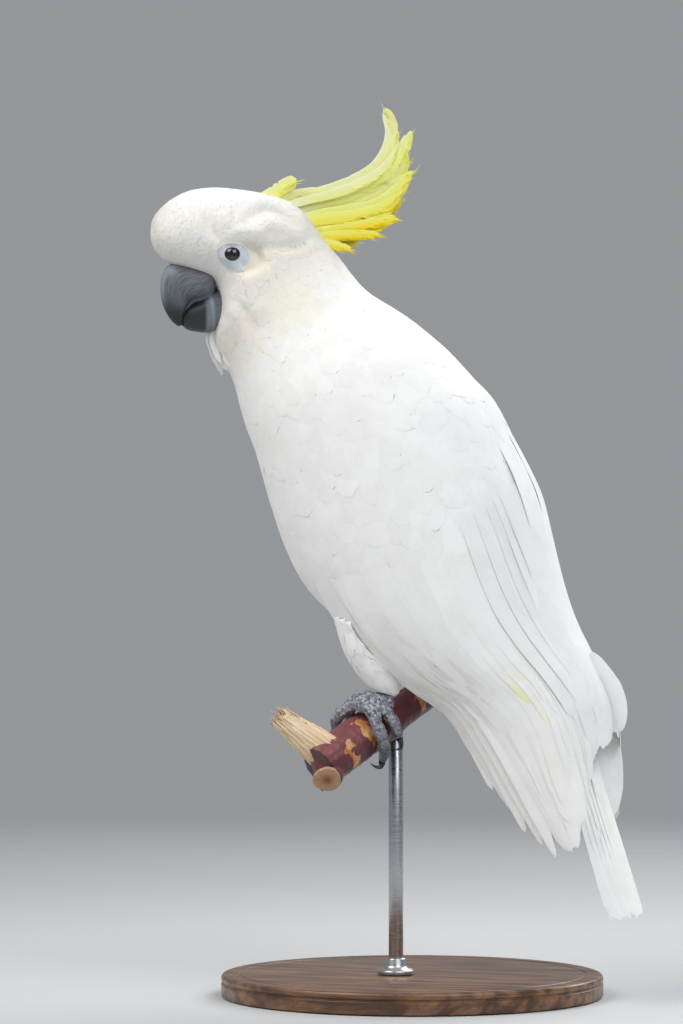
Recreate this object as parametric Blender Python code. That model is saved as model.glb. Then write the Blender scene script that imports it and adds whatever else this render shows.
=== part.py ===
"""A white cockatoo on a short cut perch, as a still, life-size display model (metres, +Z up).

The body faces -X with its head turned to its own left. Outlines are drawn in a side view taken
VIEW_TURN round from square-on: `u` runs right in that view and `z` up, both in millimetres.
"""
import bmesh
import bpy
import math
from math import cos, pi, radians, sin

import numpy as np

MM = 0.001
GAP = 0.3                     # clearance between neighbouring solids
VIEW_TURN = 20.0              # how far round from square-on the outlines were drawn
TWIST_U = -69.85              # where the neck's upright twist axis stands in that view
HEAD_YAW = 32.0               # head turned to the bird's left of the body
RING = 18                     # points round a body section

# Body sections from the forehead to the folded wing tips:
# (front u, front z, back u, back z, half width, yaw)
BODY = [
    (-144.0, 416.6, -144.0, 424.6, 4.0, 32), (-142.5, 411.4, -142.5, 429.6, 11.0, 32),
    (-137.5, 404.8, -134.8, 437.8, 18.0, 32), (-128.2, 399.9, -123.2, 443.9, 23.0, 32),
    (-118.3, 396.0, -110.0, 445.8, 26.5, 32), (-110.6, 392.2, -96.8, 445.0, 28.5, 32),
    (-107.6, 381.2, -82.5, 443.0, 30.0, 32), (-109.6, 369.6, -70.4, 439.5, 31.0, 32),
    (-110.6, 360.8, -60.0, 432.9, 32.5, 30), (-107.6, 353.1, -49.8, 419.7, 35.0, 26),
    (-103.0, 344.9, -39.6, 407.6, 39.0, 20), (-98.6, 335.5, -25.0, 389.6, 44.0, 12),
    (-94.8, 324.5, -5.0, 376.3, 49.5, 5), (-89.0, 310.8, 15.0, 358.7, 54.0, 0),
    (-83.0, 296.5, 31.0, 341.1, 57.0, 0), (-76.6, 274.5, 43.0, 327.4, 58.5, 0),
    (-68.6, 249.7, 56.2, 299.9, 59.0, 0), (-58.2, 227.2, 65.8, 277.3, 58.5, 0),
    (-42.0, 205.2, 72.6, 249.0, 56.5, 0), (-22.8, 185.9, 79.6, 221.2, 53.0, 0),
    (0.5, 168.9, 88.0, 200.4, 47.5, 0), (23.0, 157.9, 98.0, 182.1, 42.0, 0),
    (38.5, 139.2, 106.5, 163.9, 38.0, 0), (53.4, 118.6, 109.4, 141.4, 35.5, 0),
    (70.4, 95.2, 111.1, 115.0, 33.5, 0), (83.6, 74.7, 113.4, 94.3, 32.0, 0),
]
HEAD_END, NECK_END, TRUNK_END = 8.6, 12.2, 21.75  # stations where the solids part
BELLY_LIFT = 19.0             # how far the belly sits above the folded wings' lower edge

WING_THICK, WING_PROUD, WING_TIP_THICK = 7.5, 0.8, 2.2
TAIL_RIDGE = ((87.0, 158.6), (122.4, 47.2))       # centreline of the tail's upper face
TAIL_DROP = 9.0               # how far the outer tail feathers lie below the middle ones

EYE_R = 6.2
EYE_SEEN = (-97.4, 407.2)     # the near eye in the drawn view
EYE_OUT = 21.4                # eye centre from the head's middle plane

# Upper bill, root to tip: (ridge u, ridge z, cutting edge u, cutting edge z, half width)
BILL_UPPER = [
    (-117.0, 403.5, -109.0, 391.0, 11.0), (-126.5, 403.5, -110.8, 384.5, 12.0),
    (-134.5, 401.5, -115.3, 381.7, 12.0), (-137.8, 395.4, -119.8, 381.0, 11.2),
    (-138.6, 388.2, -122.4, 379.4, 10.0), (-137.7, 381.6, -124.2, 377.2, 8.4),
    (-135.7, 376.1, -125.1, 374.5, 6.4), (-132.6, 371.4, -125.7, 371.7, 4.2),
    (-129.3, 368.4, -126.0, 369.2, 2.0),
]
BILL_LOWER = [
    (-102.3, 386.0, -103.4, 368.5, 11.5), (-108.4, 385.2, -108.9, 366.0, 12.0),
    (-113.3, 380.0, -113.9, 365.0, 11.4), (-117.6, 378.6, -118.3, 365.3, 10.2),
    (-120.9, 376.9, -121.8, 367.6, 8.0), (-122.6, 374.6, -123.2, 370.4, 4.6),
]

# Crest feathers: (points along the middle, width, offset left of the head's middle plane)
CREST = [
    ([(-84.0, 443.4), (-75.5, 448.4), (-68.0, 450.6)], 6.5, 3.2),
    ([(-66.0, 439.4), (-40.0, 446.4), (-22.5, 455.0), (-13.5, 466.0), (-10.6, 478.5),
      (-14.4, 490.5)], 10.0, 0.0),
    ([(-62.0, 436.4), (-36.0, 443.0), (-18.5, 451.0), (-8.2, 462.0), (-3.3, 475.8)], 11.5, 2.3),
    ([(-58.0, 433.4), (-33.6, 437.4), (-15.7, 444.6), (-6.6, 454.8), (-2.6, 466.0)], 12.0, -2.5),
    ([(-54.5, 430.0), (-32.5, 432.2), (-14.6, 438.6), (-3.0, 452.0)], 12.0, 4.6),
    ([(-51.6, 426.0), (-34.0, 426.6), (-17.6, 431.0), (-4.8, 439.0)], 11.0, -5.0),
    ([(-48.6, 421.6), (-36.5, 420.8), (-24.0, 423.6), (-12.3, 430.0)], 9.5, 6.8),
    ([(-46.2, 416.8), (-39.0, 415.8), (-26.6, 417.4)], 6.0, -7.0),
]
CREST_THICK = 0.9

PERCH_FOOT = (-15.1, -26.0, 146.3)    # middle of the perch under the left foot
PERCH_DIR = (0.426, 0.793, 0.436)
PERCH_FROM, PERCH_TO = -42.0, 66.0
PERCH_R = 12.0
TOE_R, CLAW_R = 3.9, 1.9
FEET = {"left": 0.0, "right": 50.0}   # where each foot stands along the perch
# Toes: name, round the perch from, to (degrees, + is forward), spread along the perch
TOES = [
    ("inner_front", 8.0, 96.0, -9.0), ("outer_front", 8.0, 118.0, 1.5),
    ("outer_back", -10.0, -128.0, -7.5), ("inner_back", -10.0, -92.0, 4.0),
]

BASE_R, BASE_THICK, BASE_EDGE = 105.0, 12.0, 2.0
ROD_R, ROD_AT = 4.0, 21.0             # rod radius, and where along the perch it stands
COLLAR_R, COLLAR_H = 10.0, 9.0


def along(table, s):
    """Smooth value of a table of number rows at the fractional row s."""
    rows = np.array(table, dtype=float)
    i = int(min(max(math.floor(s), 0), len(rows) - 2))
    t = s - i
    a, b = rows[max(i - 1, 0)], rows[i]
    c, d = rows[i + 1], rows[min(i + 2, len(rows) - 1)]
    return 0.5 * (2 * b + (c - a) * t + (2 * a - 5 * b + 4 * c - d) * t * t
                  + (3 * b - a - 3 * c + d) * t ** 3)


def ease(a, b, t):
    t = min(max((t - a) / (b - a), 0.0), 1.0)
    return t * t * (3 - 2 * t)


def knots(pairs, t):
    """Straight-line value between (position, value) pairs."""
    return float(np.interp(t, [p[0] for p in pairs], [p[1] for p in pairs]))


def place(u, z, left, yaw):
    """World point, in mm, of a point of the middle plane moved `left`."""
    a = radians(yaw)
    q = (u - TWIST_U) / cos(radians(yaw - VIEW_TURN))
    x0 = TWIST_U / cos(radians(VIEW_TURN))
    return np.array([x0 + q * cos(a) + left * sin(a), q * sin(a) - left * cos(a), z])


def seen(u, z, left, yaw):
    """World point that shows at (u, z) in the drawn view and stands `left` of the middle."""
    return place(u - left * sin(radians(yaw - VIEW_TURN)), z, left, yaw)


def section(s, angle, lift=0.0, slim=0.0):
    """Point of the plumage outline at station s; angle runs from front (0) over the left."""
    fu, fz, bu, bz, half, yaw = along(BODY, s)
    front, back = place(fu, fz, 0, yaw), place(bu, bz, 0, yaw)
    span = back - front
    front = front + span / np.linalg.norm(span) * lift
    mid, reach = (front + back) / 2, (back - front) / 2
    a = radians(yaw)
    side = np.array([sin(a), -cos(a), 0.0])
    c, w = cos(angle), sin(angle)
    n = 2.0 + 0.3 * ease(9, 16, s)
    p = (abs(c) ** n + abs(w) ** n) ** (-1 / n)
    full = 1 + 0.07 * c * (1 - ease(9, 13, s))
    return mid - reach * c * p + side * w * p * (half - slim) * full


def mesh_object(name, points, faces, material, smooth=True):
    """A closed mesh from points in mm, welded and turned outward."""
    bm = bmesh.new()
    verts = [bm.verts.new([float(v) * MM for v in p]) for p in points]
    for f in faces:
        if len(set(f)) > 2:
            bm.faces.new([verts[i] for i in f])
    bmesh.ops.remove_doubles(bm, verts=bm.verts, dist=0.00001)
    bmesh.ops.recalc_face_normals(bm, faces=bm.faces)
    bmesh.ops.triangulate(bm, faces=[f for f in bm.faces if len(f.verts) == 4])
    for f in bm.faces:
        f.smooth = smooth and len(f.verts) < 9
    me = bpy.data.meshes.new(name)
    bm.to_mesh(me)
    bm.free()
    ob = bpy.data.objects.new(name, me)
    bpy.context.scene.collection.objects.link(ob)
    ob.data.materials.append(material)
    return ob


def loft(name, rings, material, cap=True):
    """Rings of equal count joined in order, the ends closed with a flat face."""
    n = len(rings[0])
    points = [p for r in rings for p in r]
    faces = [(i * n + j, i * n + (j + 1) % n, (i + 1) * n + (j + 1) % n, (i + 1) * n + j)
             for i in range(len(rings) - 1) for j in range(n)]
    if cap:
        faces.append(tuple(range(n - 1, -1, -1)))
        faces.append(tuple((len(rings) - 1) * n + j for j in range(n)))
    return mesh_object(name, points, faces, material)


def slab(name, top, bottom, material):
    """A closed plate between two grids of points of the same size."""
    rows, cols = len(top), len(top[0])
    points = [p for r in top for p in r] + [p for r in bottom for p in r]
    off = rows * cols
    faces = []
    for i in range(rows - 1):
        for j in range(cols - 1):
            a, b, c, d = i * cols + j, i * cols + j + 1, (i + 1) * cols + j + 1, (i + 1) * cols + j
            faces += [(a, b, c, d), (off + d, off + c, off + b, off + a)]
    rim = ([j for j in range(cols)] + [i * cols + cols - 1 for i in range(1, rows)]
           + [(rows - 1) * cols + j for j in range(cols - 2, -1, -1)]
           + [i * cols for i in range(rows - 2, 0, -1)])
    for a, b in zip(rim, rim[1:] + rim[:1]):
        faces.append((b, a, off + a, off + b))
    return mesh_object(name, points, faces, material)


def frame_along(points, hint):
    """Tangent, side and lift directions at each point of a path."""
    pts = [np.array(p, dtype=float) for p in points]
    out = []
    for i in range(len(pts)):
        t = pts[min(i + 1, len(pts) - 1)] - pts[max(i - 1, 0)]
        t /= np.linalg.norm(t)
        side = np.cross(t, hint)
        side /= np.linalg.norm(side)
        out.append((t, side, np.cross(side, t)))
    return out


def tube(name, points, radii, hint, material, n=10, flat=1.0):
    rings = []
    for p, r, (_, side, lift) in zip(points, radii, frame_along(points, hint)):
        rings.append([np.array(p) + side * cos(2 * pi * k / n) * r
                      + lift * sin(2 * pi * k / n) * r * flat for k in range(n)])
    return loft(name, rings, material)


def blade(name, points, widths, thick, normal, material):
    """A feather: a lens-shaped plate along a path, its faces turned to `normal`."""
    rings = []
    for p, w, (_, side, lift) in zip(points, widths, frame_along(points, normal)):
        shape = [(-1, 0), (-0.5, 0.5), (0.5, 0.5), (1, 0), (0.5, -0.5), (-0.5, -0.5)]
        rings.append([np.array(p) + side * a * w / 2 + lift * b * thick for a, b in shape])
    return loft(name, rings, material)


def cut(target, cutter, union=False):
    """Take the cutter out of the target, and the cutter out of the scene."""
    mod = target.modifiers.new("cut", "BOOLEAN")
    mod.operation = "UNION" if union else "DIFFERENCE"
    mod.solver = "EXACT"
    mod.object = cutter
    cutter.hide_render, cutter.display_type = True, "WIRE"
    deps = bpy.context.evaluated_depsgraph_get()
    me = bpy.data.meshes.new_from_object(target.evaluated_get(deps))
    target.modifiers.remove(mod)
    target.data = me
    bpy.data.objects.remove(cutter)
    tidy(target)


def tidy(ob):
    """Weld boolean slivers and drop specks of loose mesh."""
    bm = bmesh.new()
    bm.from_mesh(ob.data)
    bmesh.ops.remove_doubles(bm, verts=bm.verts, dist=0.000005)
    bmesh.ops.dissolve_degenerate(bm, edges=bm.edges, dist=0.000005)
    left, parts = set(bm.verts), []
    while left:
        stack, part = [left.pop()], []
        while stack:
            v = stack.pop()
            part.append(v)
            for e in v.link_edges:
                o = e.other_vert(v)
                if o in left:
                    left.remove(o)
                    stack.append(o)
        parts.append(part)
    parts.sort(key=len, reverse=True)
    for part in parts[1:]:
        bmesh.ops.delete(bm, geom=part, context="VERTS")
    bm.to_mesh(ob.data)
    bm.free()


def paint(name, colour, rough=0.7, metal=0.0):
    mat = bpy.data.materials.new(name)
    mat.use_nodes = True
    node = next(x for x in mat.node_tree.nodes if x.type == "BSDF_PRINCIPLED")
    node.inputs["Base Color"].default_value = (*colour, 1.0)
    node.inputs["Roughness"].default_value = rough
    node.inputs["Metallic"].default_value = metal
    return mat


def clear():
    for ob in list(bpy.data.objects):
        bpy.data.objects.remove(ob, do_unlink=True)


def body_solid(name, start, end, step, material, lift=False):
    """The plumage outline between two stations, flat at both ends."""
    rings = []
    for s in np.linspace(start, end, max(int((end - start) / step) + 1, 3)):
        up = BELLY_LIFT * ease(17.0, 20.5, s) if lift else 0.0
        rings.append([section(s, 2 * pi * k / RING, up) for k in range(RING)])
    return loft(name, rings, material)


def wing_grids(side, grow=0.0):
    """Outer and inner grids of a folded wing lying on the plumage outline."""
    sign = 1 if side == "left" else -1
    shorten = 0.0 if side == "left" else 0.55
    rows, cols = 15, 10
    low = [(0, 68), (0.2, 54), (0.45, 44), (0.7, 37), (1, 36)]
    high = [(0, 128), (0.2, 143), (0.45, 156), (0.7, 163), (1, 163)]
    ends = [(0, 22.8), (0.12, 23.5), (0.28, 24.4), (0.42, 25.0), (0.58, 24.3),
            (0.74, 23.4), (0.88, 22.8), (1, 22.4)]
    outer, inner = [], []
    for i in range(rows):
        b = i / (rows - 1)
        o_row, i_row = [], []
        for j in range(cols):
            a = j / (cols - 1)
            ragged = 0.22 * (j % 2) * ease(0.8, 1.0, b)
            s0 = 12.5 + 0.5 * (2 * a - 1) ** 2 - grow * 0.05
            s1 = knots(ends, a) - shorten * ease(0, 0.4, a) - ragged + grow * 0.03
            s = s0 + (s1 - s0) * b
            lo, hi = knots(low, b) - grow, knots(high, b) + grow * 0.6
            ang = radians(lo + (hi - lo) * a) * sign
            p = section(s, ang)
            du = section(s + 0.05, ang) - section(s - 0.05, ang)
            dv = section(s, ang + 0.03 * sign) - section(s, ang - 0.03 * sign)
            n = np.cross(du, dv) * sign
            n /= np.linalg.norm(n)
            rim = min(a, 1 - a) * 5, b * 6, 1.0
            full = math.sqrt(min(rim))
            thick = (WING_THICK + (WING_TIP_THICK - WING_THICK) * ease(0.35, 0.85, b)) * full
            o_row.append(p + n * (WING_PROUD + grow))
            i_row.append(p - n * (max(thick, 0.6) + grow))
        outer.append(o_row)
        inner.append(i_row)
    return outer, inner


def wing(side, material, grow=0.0, name=None):
    outer, inner = wing_grids(side, grow)
    return slab(name or f"wing_{side}", outer, inner, material)


def tail(material):
    """Tail feathers with their coverts: a roof-shaped plate, thick where it leaves the rump."""
    rows, cols = 10, 15
    width = [(0, 21), (0.3, 20), (0.55, 21), (0.8, 25), (1, 27)]
    above = [(0, 8), (0.35, 1.5), (0.7, 0.6), (1, 0.6)]
    below = [(0, 26), (0.3, 13), (0.55, 4), (0.75, 1.2), (1, 0.9)]
    (u0, z0), (u1, z1) = TAIL_RIDGE
    run = place(u1, z1, 0, 0) - place(u0, z0, 0, 0)
    length = np.linalg.norm(run)
    t = run / length
    side = np.array([0.0, -1.0, 0.0])
    down = np.cross(side, t)
    down = down if down[2] < 0 else -down
    top, bottom = [], []
    for i in range(rows):
        v = i / (rows - 1)
        t_row, b_row = [], []
        for j in range(cols):
            w = -1 + 2 * j / (cols - 1)
            tip = 1.0 - 0.025 * (j % 2) - 0.02 * w * w + 0.05 * w
            p = (place(u0, z0, 0, 0) + t * length * v * tip + side * w * knots(width, v)
                 + down * TAIL_DROP * w * w * ease(-0.2, 0.6, v))
            round_off = math.sqrt(max(1 - w * w, 0.0))
            t_row.append(p - down * max(knots(above, v) * round_off, 0.35))
            b_row.append(p + down * max(knots(below, v) * round_off, 0.35))
        top.append(t_row)
        bottom.append(b_row)
    return slab("tail", top, bottom, material)


def thigh(side, material, grow=0.0, name=None):
    """Feathered thigh, root in the belly to the heel."""
    sign = 1 if side == "left" else -1
    if side == "left":
        path = [(-32.0, 222.0, 30), (-29.0, 206.0, 31), (-24.5, 190.0, 31), (-17.5, 176.5, 30),
                (-12.0, 168.5, 29), (-9.5, 164.8, 29)]
    else:
        path = [(-26.0, 226.0, 28), (-20.0, 212.0, 28), (-10.0, 200.0, 26), (2.0, 191.5, 22),
                (9.0, 187.0, 20), (11.0, 185.0, 19)]
    radii = [14.0, 15.0, 13.5, 10.5, 7.2, 4.0]
    points = [seen(u, z, out * sign, 0) for u, z, out in path]
    fine = [along([tuple(p) for p in points], s) for s in np.linspace(0, 5, 9)]
    sizes = [float(along([(r,) for r in radii], s)[0]) + grow for s in np.linspace(0, 5, 9)]
    return tube(name or f"thigh_{side}", fine, sizes, np.array([0, 1.0, 0]), material, 12)


def perch_frame():
    d = np.array(PERCH_DIR) / np.linalg.norm(PERCH_DIR)
    forward = np.array([-1.0, 0.0, 0.0])
    forward -= d * forward.dot(d)
    forward /= np.linalg.norm(forward)
    up = np.cross(d, forward)
    return d, forward, up if up[2] > 0 else -up


def perch_radius(t):
    """The branch is thinner past the near foot."""
    return PERCH_R * (1.03 - 0.24 * ease(0, 30, t))


def perch(material, grow=0.0, name="perch"):
    d, forward, up = perch_frame()
    rings, n, count = [], 14, 11
    for i, t in enumerate(np.linspace(PERCH_FROM - grow, PERCH_TO + grow, count)):
        c = np.array(PERCH_FOOT) + d * t
        ring = []
        for k in range(n):
            a = 2 * pi * k / n
            r = perch_radius(t) * (1 + 0.015 * sin(3 * a + t * 0.11) + 0.01 * sin(5 * a - t * 0.2))
            if i in (0, count - 1):
                r *= 0.90
            ring.append(c + (forward * cos(a) + up * sin(a)) * (r + grow))
        rings.append(ring)
    return loft(name, rings, material)


def perch_stub(material):
    """The pruned side twig and its cut face, on the near side of the perch."""
    d, forward, up = perch_frame()
    c = np.array(PERCH_FOOT) + d * (PERCH_FROM + 7)
    out = -up * 0.62 - forward * 0.60 - d * 0.50
    out /= np.linalg.norm(out)
    points = [c + out * k for k in (0.0, 9.0, 15.0, 16.4)]
    return tube("stub", points, [8.4, 7.8, 7.4, 6.6], np.array([0, 0, 1.0]), material, 16)


def torn_end(material):
    """Raw splintered wood where the branch broke away."""
    d, _, _ = perch_frame()
    root = seen(-51.5, 138.6, 56, 0)
    tip = seen(-75.5, 157.0, 66, 0)
    run = tip - root
    length = np.linalg.norm(run)
    t = run / length
    side = np.cross(t, np.array([0, -1.0, 0]))
    side /= np.linalg.norm(side)
    lift = np.cross(side, t)
    n, rings = 14, []
    for i in range(6):
        v = i / 5
        ring = []
        for k in range(n):
            a = 2 * pi * k / n
            jag = 1 - (0.22 * ((k * 7) % 5) / 5 + 0.08 * (k % 2)) * ease(0.4, 1.0, v)
            r1, r2 = 10.5 - 2.5 * v, 7.0 - 3.4 * v
            rough = 1 + 0.05 * sin(k * 2.3 + i)
            ring.append(root + t * length * v * jag
                        + (side * cos(a) * r1 + lift * sin(a) * r2) * rough)
        rings.append(ring)
    return loft("perch_torn_end", rings, material)


def toe_path(side, start, end, spread, count=8):
    """Points of a toe's middle, wrapped round the perch."""
    d, forward, up = perch_frame()
    sign = 1 if side == "left" else -1
    out = []
    for k in range(count):
        v = k / (count - 1)
        a = radians(start + (end - start) * v)
        t = FEET[side] + sign * spread * (0.35 + 0.65 * ease(0, 0.5, v))
        r = perch_radius(t) + TOE_R + GAP + 0.5 + 2.0 * (1 - ease(0, 0.35, v))
        out.append(np.array(PERCH_FOOT) + d * t + (up * cos(a) + forward * sin(a)) * r)
    return out


def toes(side, material, grow=0.0):
    """Two toes forward and two back, fleshy at each joint."""
    d, _, _ = perch_frame()
    made = []
    for name, start, end, spread in TOES:
        pts = toe_path(side, start, end, spread)
        radii = [TOE_R * (1.0 - 0.22 * i / 7) + 0.25 * sin(i * 2.2) + grow for i in range(8)]
        radii[-1] *= 0.72
        made.append(tube(f"toe_{side}_{name}", pts, radii, d, material, 6))
    return made


def ball(side, material, grow=0.0):
    """The fleshy pad of the sole, where the toes and the shank join."""
    d, _, up = perch_frame()
    c = np.array(PERCH_FOOT) + d * FEET[side] + up * (perch_radius(FEET[side]) + 6.2)
    points = [c + d * k for k in (-6.8, -4.6, 0.0, 4.6, 6.8)]
    return tube(f"ball_{side}", points, [k + grow for k in (2.6, 4.9, 5.9, 4.9, 2.6)],
                np.array([0, 0, 1.0]), material, 10)


def claws(side, material, grow=0.0):
    d, forward, up = perch_frame()
    made, sign = [], 1 if side == "left" else -1
    for name, _, end, spread in TOES:
        t = FEET[side] + sign * spread
        turn, points = (1 if end > 0 else -1), []
        for i in range(5):
            v = i / 4
            a = radians(end + turn * (6.0 + 34.0 * v))
            r = perch_radius(t) + TOE_R + 1.6 - 1.8 * v + 2.2 * sin(pi * v)
            points.append(np.array(PERCH_FOOT) + d * t + (up * cos(a) + forward * sin(a)) * r)
        sizes = [max(CLAW_R * (1 - i / 4.4), 0.35) + grow for i in range(5)]
        made.append(tube(f"claw_{side}_{name}", points, sizes, d, material, 6))
    return made


def shank(side, material, grow=0.0):
    """From the sole up into the feathered thigh."""
    d, forward, up = perch_frame()
    sole = np.array(PERCH_FOOT) + d * FEET[side] + up * (PERCH_R + 5.6) + forward * 2.0
    u, z, left = (-11.0, 163.5, 29) if side == "left" else (11.2, 181.6, -19)
    heel = seen(u, z, left, 0)
    points = [sole + (heel - sole) * k for k in (0.0, 0.35, 0.7, 1.0)]
    return tube(f"shank_{side}", points, [r + grow for r in (5.2, 5.0, 4.4, 4.2)],
                np.array([0, 1.0, 0]), material, 10)


def foot_room(material, side, grow=0.0):
    """Cutter that leaves room for the far foot and the perch under the belly."""
    d, _, _ = perch_frame()
    c = np.array(PERCH_FOOT)
    points = [c + d * t for t in (FEET[side] - 24.0, FEET[side], FEET[side] + 24.0)]
    return tube("room", points, [perch_radius(FEET[side]) + 13.3] * 3, np.array([0, 0, 1.0]),
                material, 12)


def leg(side, plumage, skin, horn, trunk):
    """A feathered thigh, the bare foot under it and its claws, each cleared of the others."""
    high = thigh(side, plumage)
    cut(trunk, thigh(side, plumage, GAP, "pocket"))
    cut(high, wing(side, plumage, GAP + 0.3, "pocket"))
    if side == "right":
        cut(high, foot_room(skin, side))
        cut(trunk, foot_room(skin, side))
        cut(trunk, shank(side, skin, GAP))
    else:
        cut(high, ball(side, skin, GAP))
    cut(high, shank(side, skin, GAP))
    foot = shank(side, skin)
    for piece in [ball(side, skin)] + toes(side, skin):
        cut(foot, piece, union=True)
    foot.name = foot.data.name = f"foot_{side}"
    cut(foot, perch(skin, GAP, "pocket"))
    claws(side, horn)
    for spare in claws(side, horn, GAP):
        cut(foot, spare)


def bill_ring(row, n, grow, wide_low):
    u0, z0, u1, z1, half = row
    ridge, edge = place(u0, z0, 0, HEAD_YAW), place(u1, z1, 0, HEAD_YAW)
    mid, reach = (ridge + edge) / 2, (ridge - edge) / 2
    size = np.linalg.norm(reach)
    a = radians(HEAD_YAW)
    side = np.array([sin(a), -cos(a), 0.0])
    ring = []
    for k in range(n):
        t = 2 * pi * k / n
        c, w = cos(t), sin(t)
        p = (abs(c) ** 2.3 + abs(w) ** 2.3) ** (-1 / 2.3)
        fat = 1 - wide_low * c
        ring.append(mid + reach * c * p * (size + grow) / size + side * w * p * fat * (half + grow))
    return ring


def bill(name, table, material, wide_low, grow=0.0, step=1.0):
    stations = np.arange(0, len(table) - 1 + 1e-6, step)
    if grow:
        stations = np.concatenate([[-0.12], stations[1:]])
    rings = [bill_ring(along(table, s), 12, grow, wide_low) for s in stations]
    return loft(name, rings, material)


def eye(side, material, grow=0.0, name=None):
    sign = 1 if side == "left" else -1
    u = EYE_SEEN[0] - 28.0 * sin(radians(HEAD_YAW - VIEW_TURN))
    c = place(u, EYE_SEEN[1], EYE_OUT * sign, HEAD_YAW)
    r, rings = EYE_R + grow, []
    a = radians(HEAD_YAW)
    out = np.array([sin(a), -cos(a), 0.0]) * sign
    fwd = np.array([-cos(a), -sin(a), 0.0])
    for i in range(8):
        lat = pi * (0.04 + 0.92 * i / 7)
        rings.append([c + out * cos(lat) * r + (fwd * cos(2 * pi * k / 14)
                      + np.array([0, 0, 1.0]) * sin(2 * pi * k / 14)) * sin(lat) * r
                      for k in range(14)])
    return loft(name or f"eye_{side}", rings, material)


def crest(material):
    made = []
    for i, (path, width, left) in enumerate(CREST):
        rows = [(u, z) for u, z in path]
        steps = np.linspace(0, len(rows) - 1, 7)
        pts, widths = [], []
        for k, s in enumerate(steps):
            v = k / 6
            u, z = along(rows, s)
            pts.append(place(u, z, left * (1 + 0.8 * v), HEAD_YAW))
            widths.append(width * min(0.35 + 2.6 * v, 1.0) * (1 - 0.9 * ease(0.62, 1.02, v) ** 1.5))
        a = radians(HEAD_YAW)
        normal = np.array([sin(a), -cos(a), 0.25])
        made.append(blade(f"crest_feather_{i + 1}", pts, widths, CREST_THICK, normal, material))
    return made


def disc(name, rings, material, n=40):
    """A turned solid from (radius, height) pairs, low to high."""
    return loft(name, [[np.array([r * cos(2 * pi * k / n), r * sin(2 * pi * k / n), z])
                        for k in range(n)] for r, z in rings], material)


def stand(wood, steel):
    disc("stand_base", [(BASE_R - 0.6, 0.0), (BASE_R, 0.8), (BASE_R, BASE_THICK - BASE_EDGE),
                        (BASE_R - BASE_EDGE, BASE_THICK)], wood)
    d, _, _ = perch_frame()
    at = np.array(PERCH_FOOT) + d * ROD_AT
    foot_z = BASE_THICK + GAP
    made = []
    for name, rings in (("stand_rod", [(ROD_R, foot_z), (ROD_R, at[2])]),
                        ("stand_collar", [(COLLAR_R, foot_z), (COLLAR_R, foot_z + 2.5),
                                          (COLLAR_R - 4.0, foot_z + COLLAR_H)])):
        ob = disc(name, rings, steel, 16)
        for v in ob.data.vertices:
            v.co.x += at[0] * MM
            v.co.y += at[1] * MM
        made.append(ob)
    hole = disc("hole", [(ROD_R + GAP, 0), (ROD_R + GAP, 40)], steel, 16)
    for v in hole.data.vertices:
        v.co.x += at[0] * MM
        v.co.y += at[1] * MM
    cut(made[1], hole)
    return made


def build():
    clear()
    plumage = paint("white_plumage", (0.86, 0.86, 0.84), 0.8)
    yellow = paint("yellow_crest", (0.88, 0.85, 0.25), 0.7)
    skin = paint("grey_leg_skin", (0.22, 0.23, 0.26), 0.6)
    horn = paint("slate_horn", (0.08, 0.085, 0.10), 0.4)
    glass = paint("dark_eye", (0.02, 0.016, 0.016), 0.08)
    bark = paint("branch_bark", (0.20, 0.07, 0.06), 0.8)
    raw = paint("torn_wood", (0.60, 0.42, 0.24), 0.85)
    wood = paint("base_wood", (0.10, 0.085, 0.075), 0.5)
    steel = paint("rod_steel", (0.55, 0.55, 0.56), 0.3, 1.0)

    split = GAP / 18
    head = body_solid("head", 0, HEAD_END - split, 0.6, plumage)
    neck = body_solid("neck", HEAD_END + split, NECK_END - split, 0.6, plumage)
    trunk = body_solid("trunk", NECK_END + split, TRUNK_END - split, 0.8, plumage, lift=True)
    for side in ("left", "right"):
        eye(side, glass)
        cut(head, eye(side, glass, GAP, "pocket"))
    bill("bill_upper", BILL_UPPER, horn, 0.10)
    bill("bill_lower", BILL_LOWER, horn, 0.0)
    cut(head, bill("pocket", BILL_UPPER, horn, 0.10, GAP))
    cut(head, bill("pocket", BILL_LOWER, horn, 0.0, GAP))
    crest(yellow)

    wings = [wing(side, plumage) for side in ("left", "right")]
    for side in ("left", "right"):
        cut(trunk, wing(side, plumage, GAP + 0.3, "pocket"))
    tail(plumage)

    branch = perch(bark)
    cut(branch, perch_stub(bark), union=True)
    torn = torn_end(raw)
    cut(torn, perch(bark, GAP, "pocket"))
    rod, _ = stand(wood, steel)
    cut(rod, perch(bark, GAP, "pocket"))

    for side in ("left", "right"):
        leg(side, plumage, skin, horn, trunk)
    cut(wings[1], perch(bark, GAP, "pocket"))


build()
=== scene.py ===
"""A white cockatoo on a cut perch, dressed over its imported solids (metres, +Z up).

The bird faces -X with its head turned to its own left. Outlines repeat the design rows of the
solids: `u` runs right and `z` up in a side view taken VIEW_TURN round from square-on, in mm.
"""
import logging
import math
from dataclasses import dataclass, field
from enum import Enum
from functools import partial
from typing import Any, Callable, Dict, List, Optional, Sequence, Tuple

import bmesh
import bpy
import numpy as np
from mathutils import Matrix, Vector, noise
from mathutils.bvhtree import BVHTree
from mathutils.kdtree import KDTree


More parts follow.
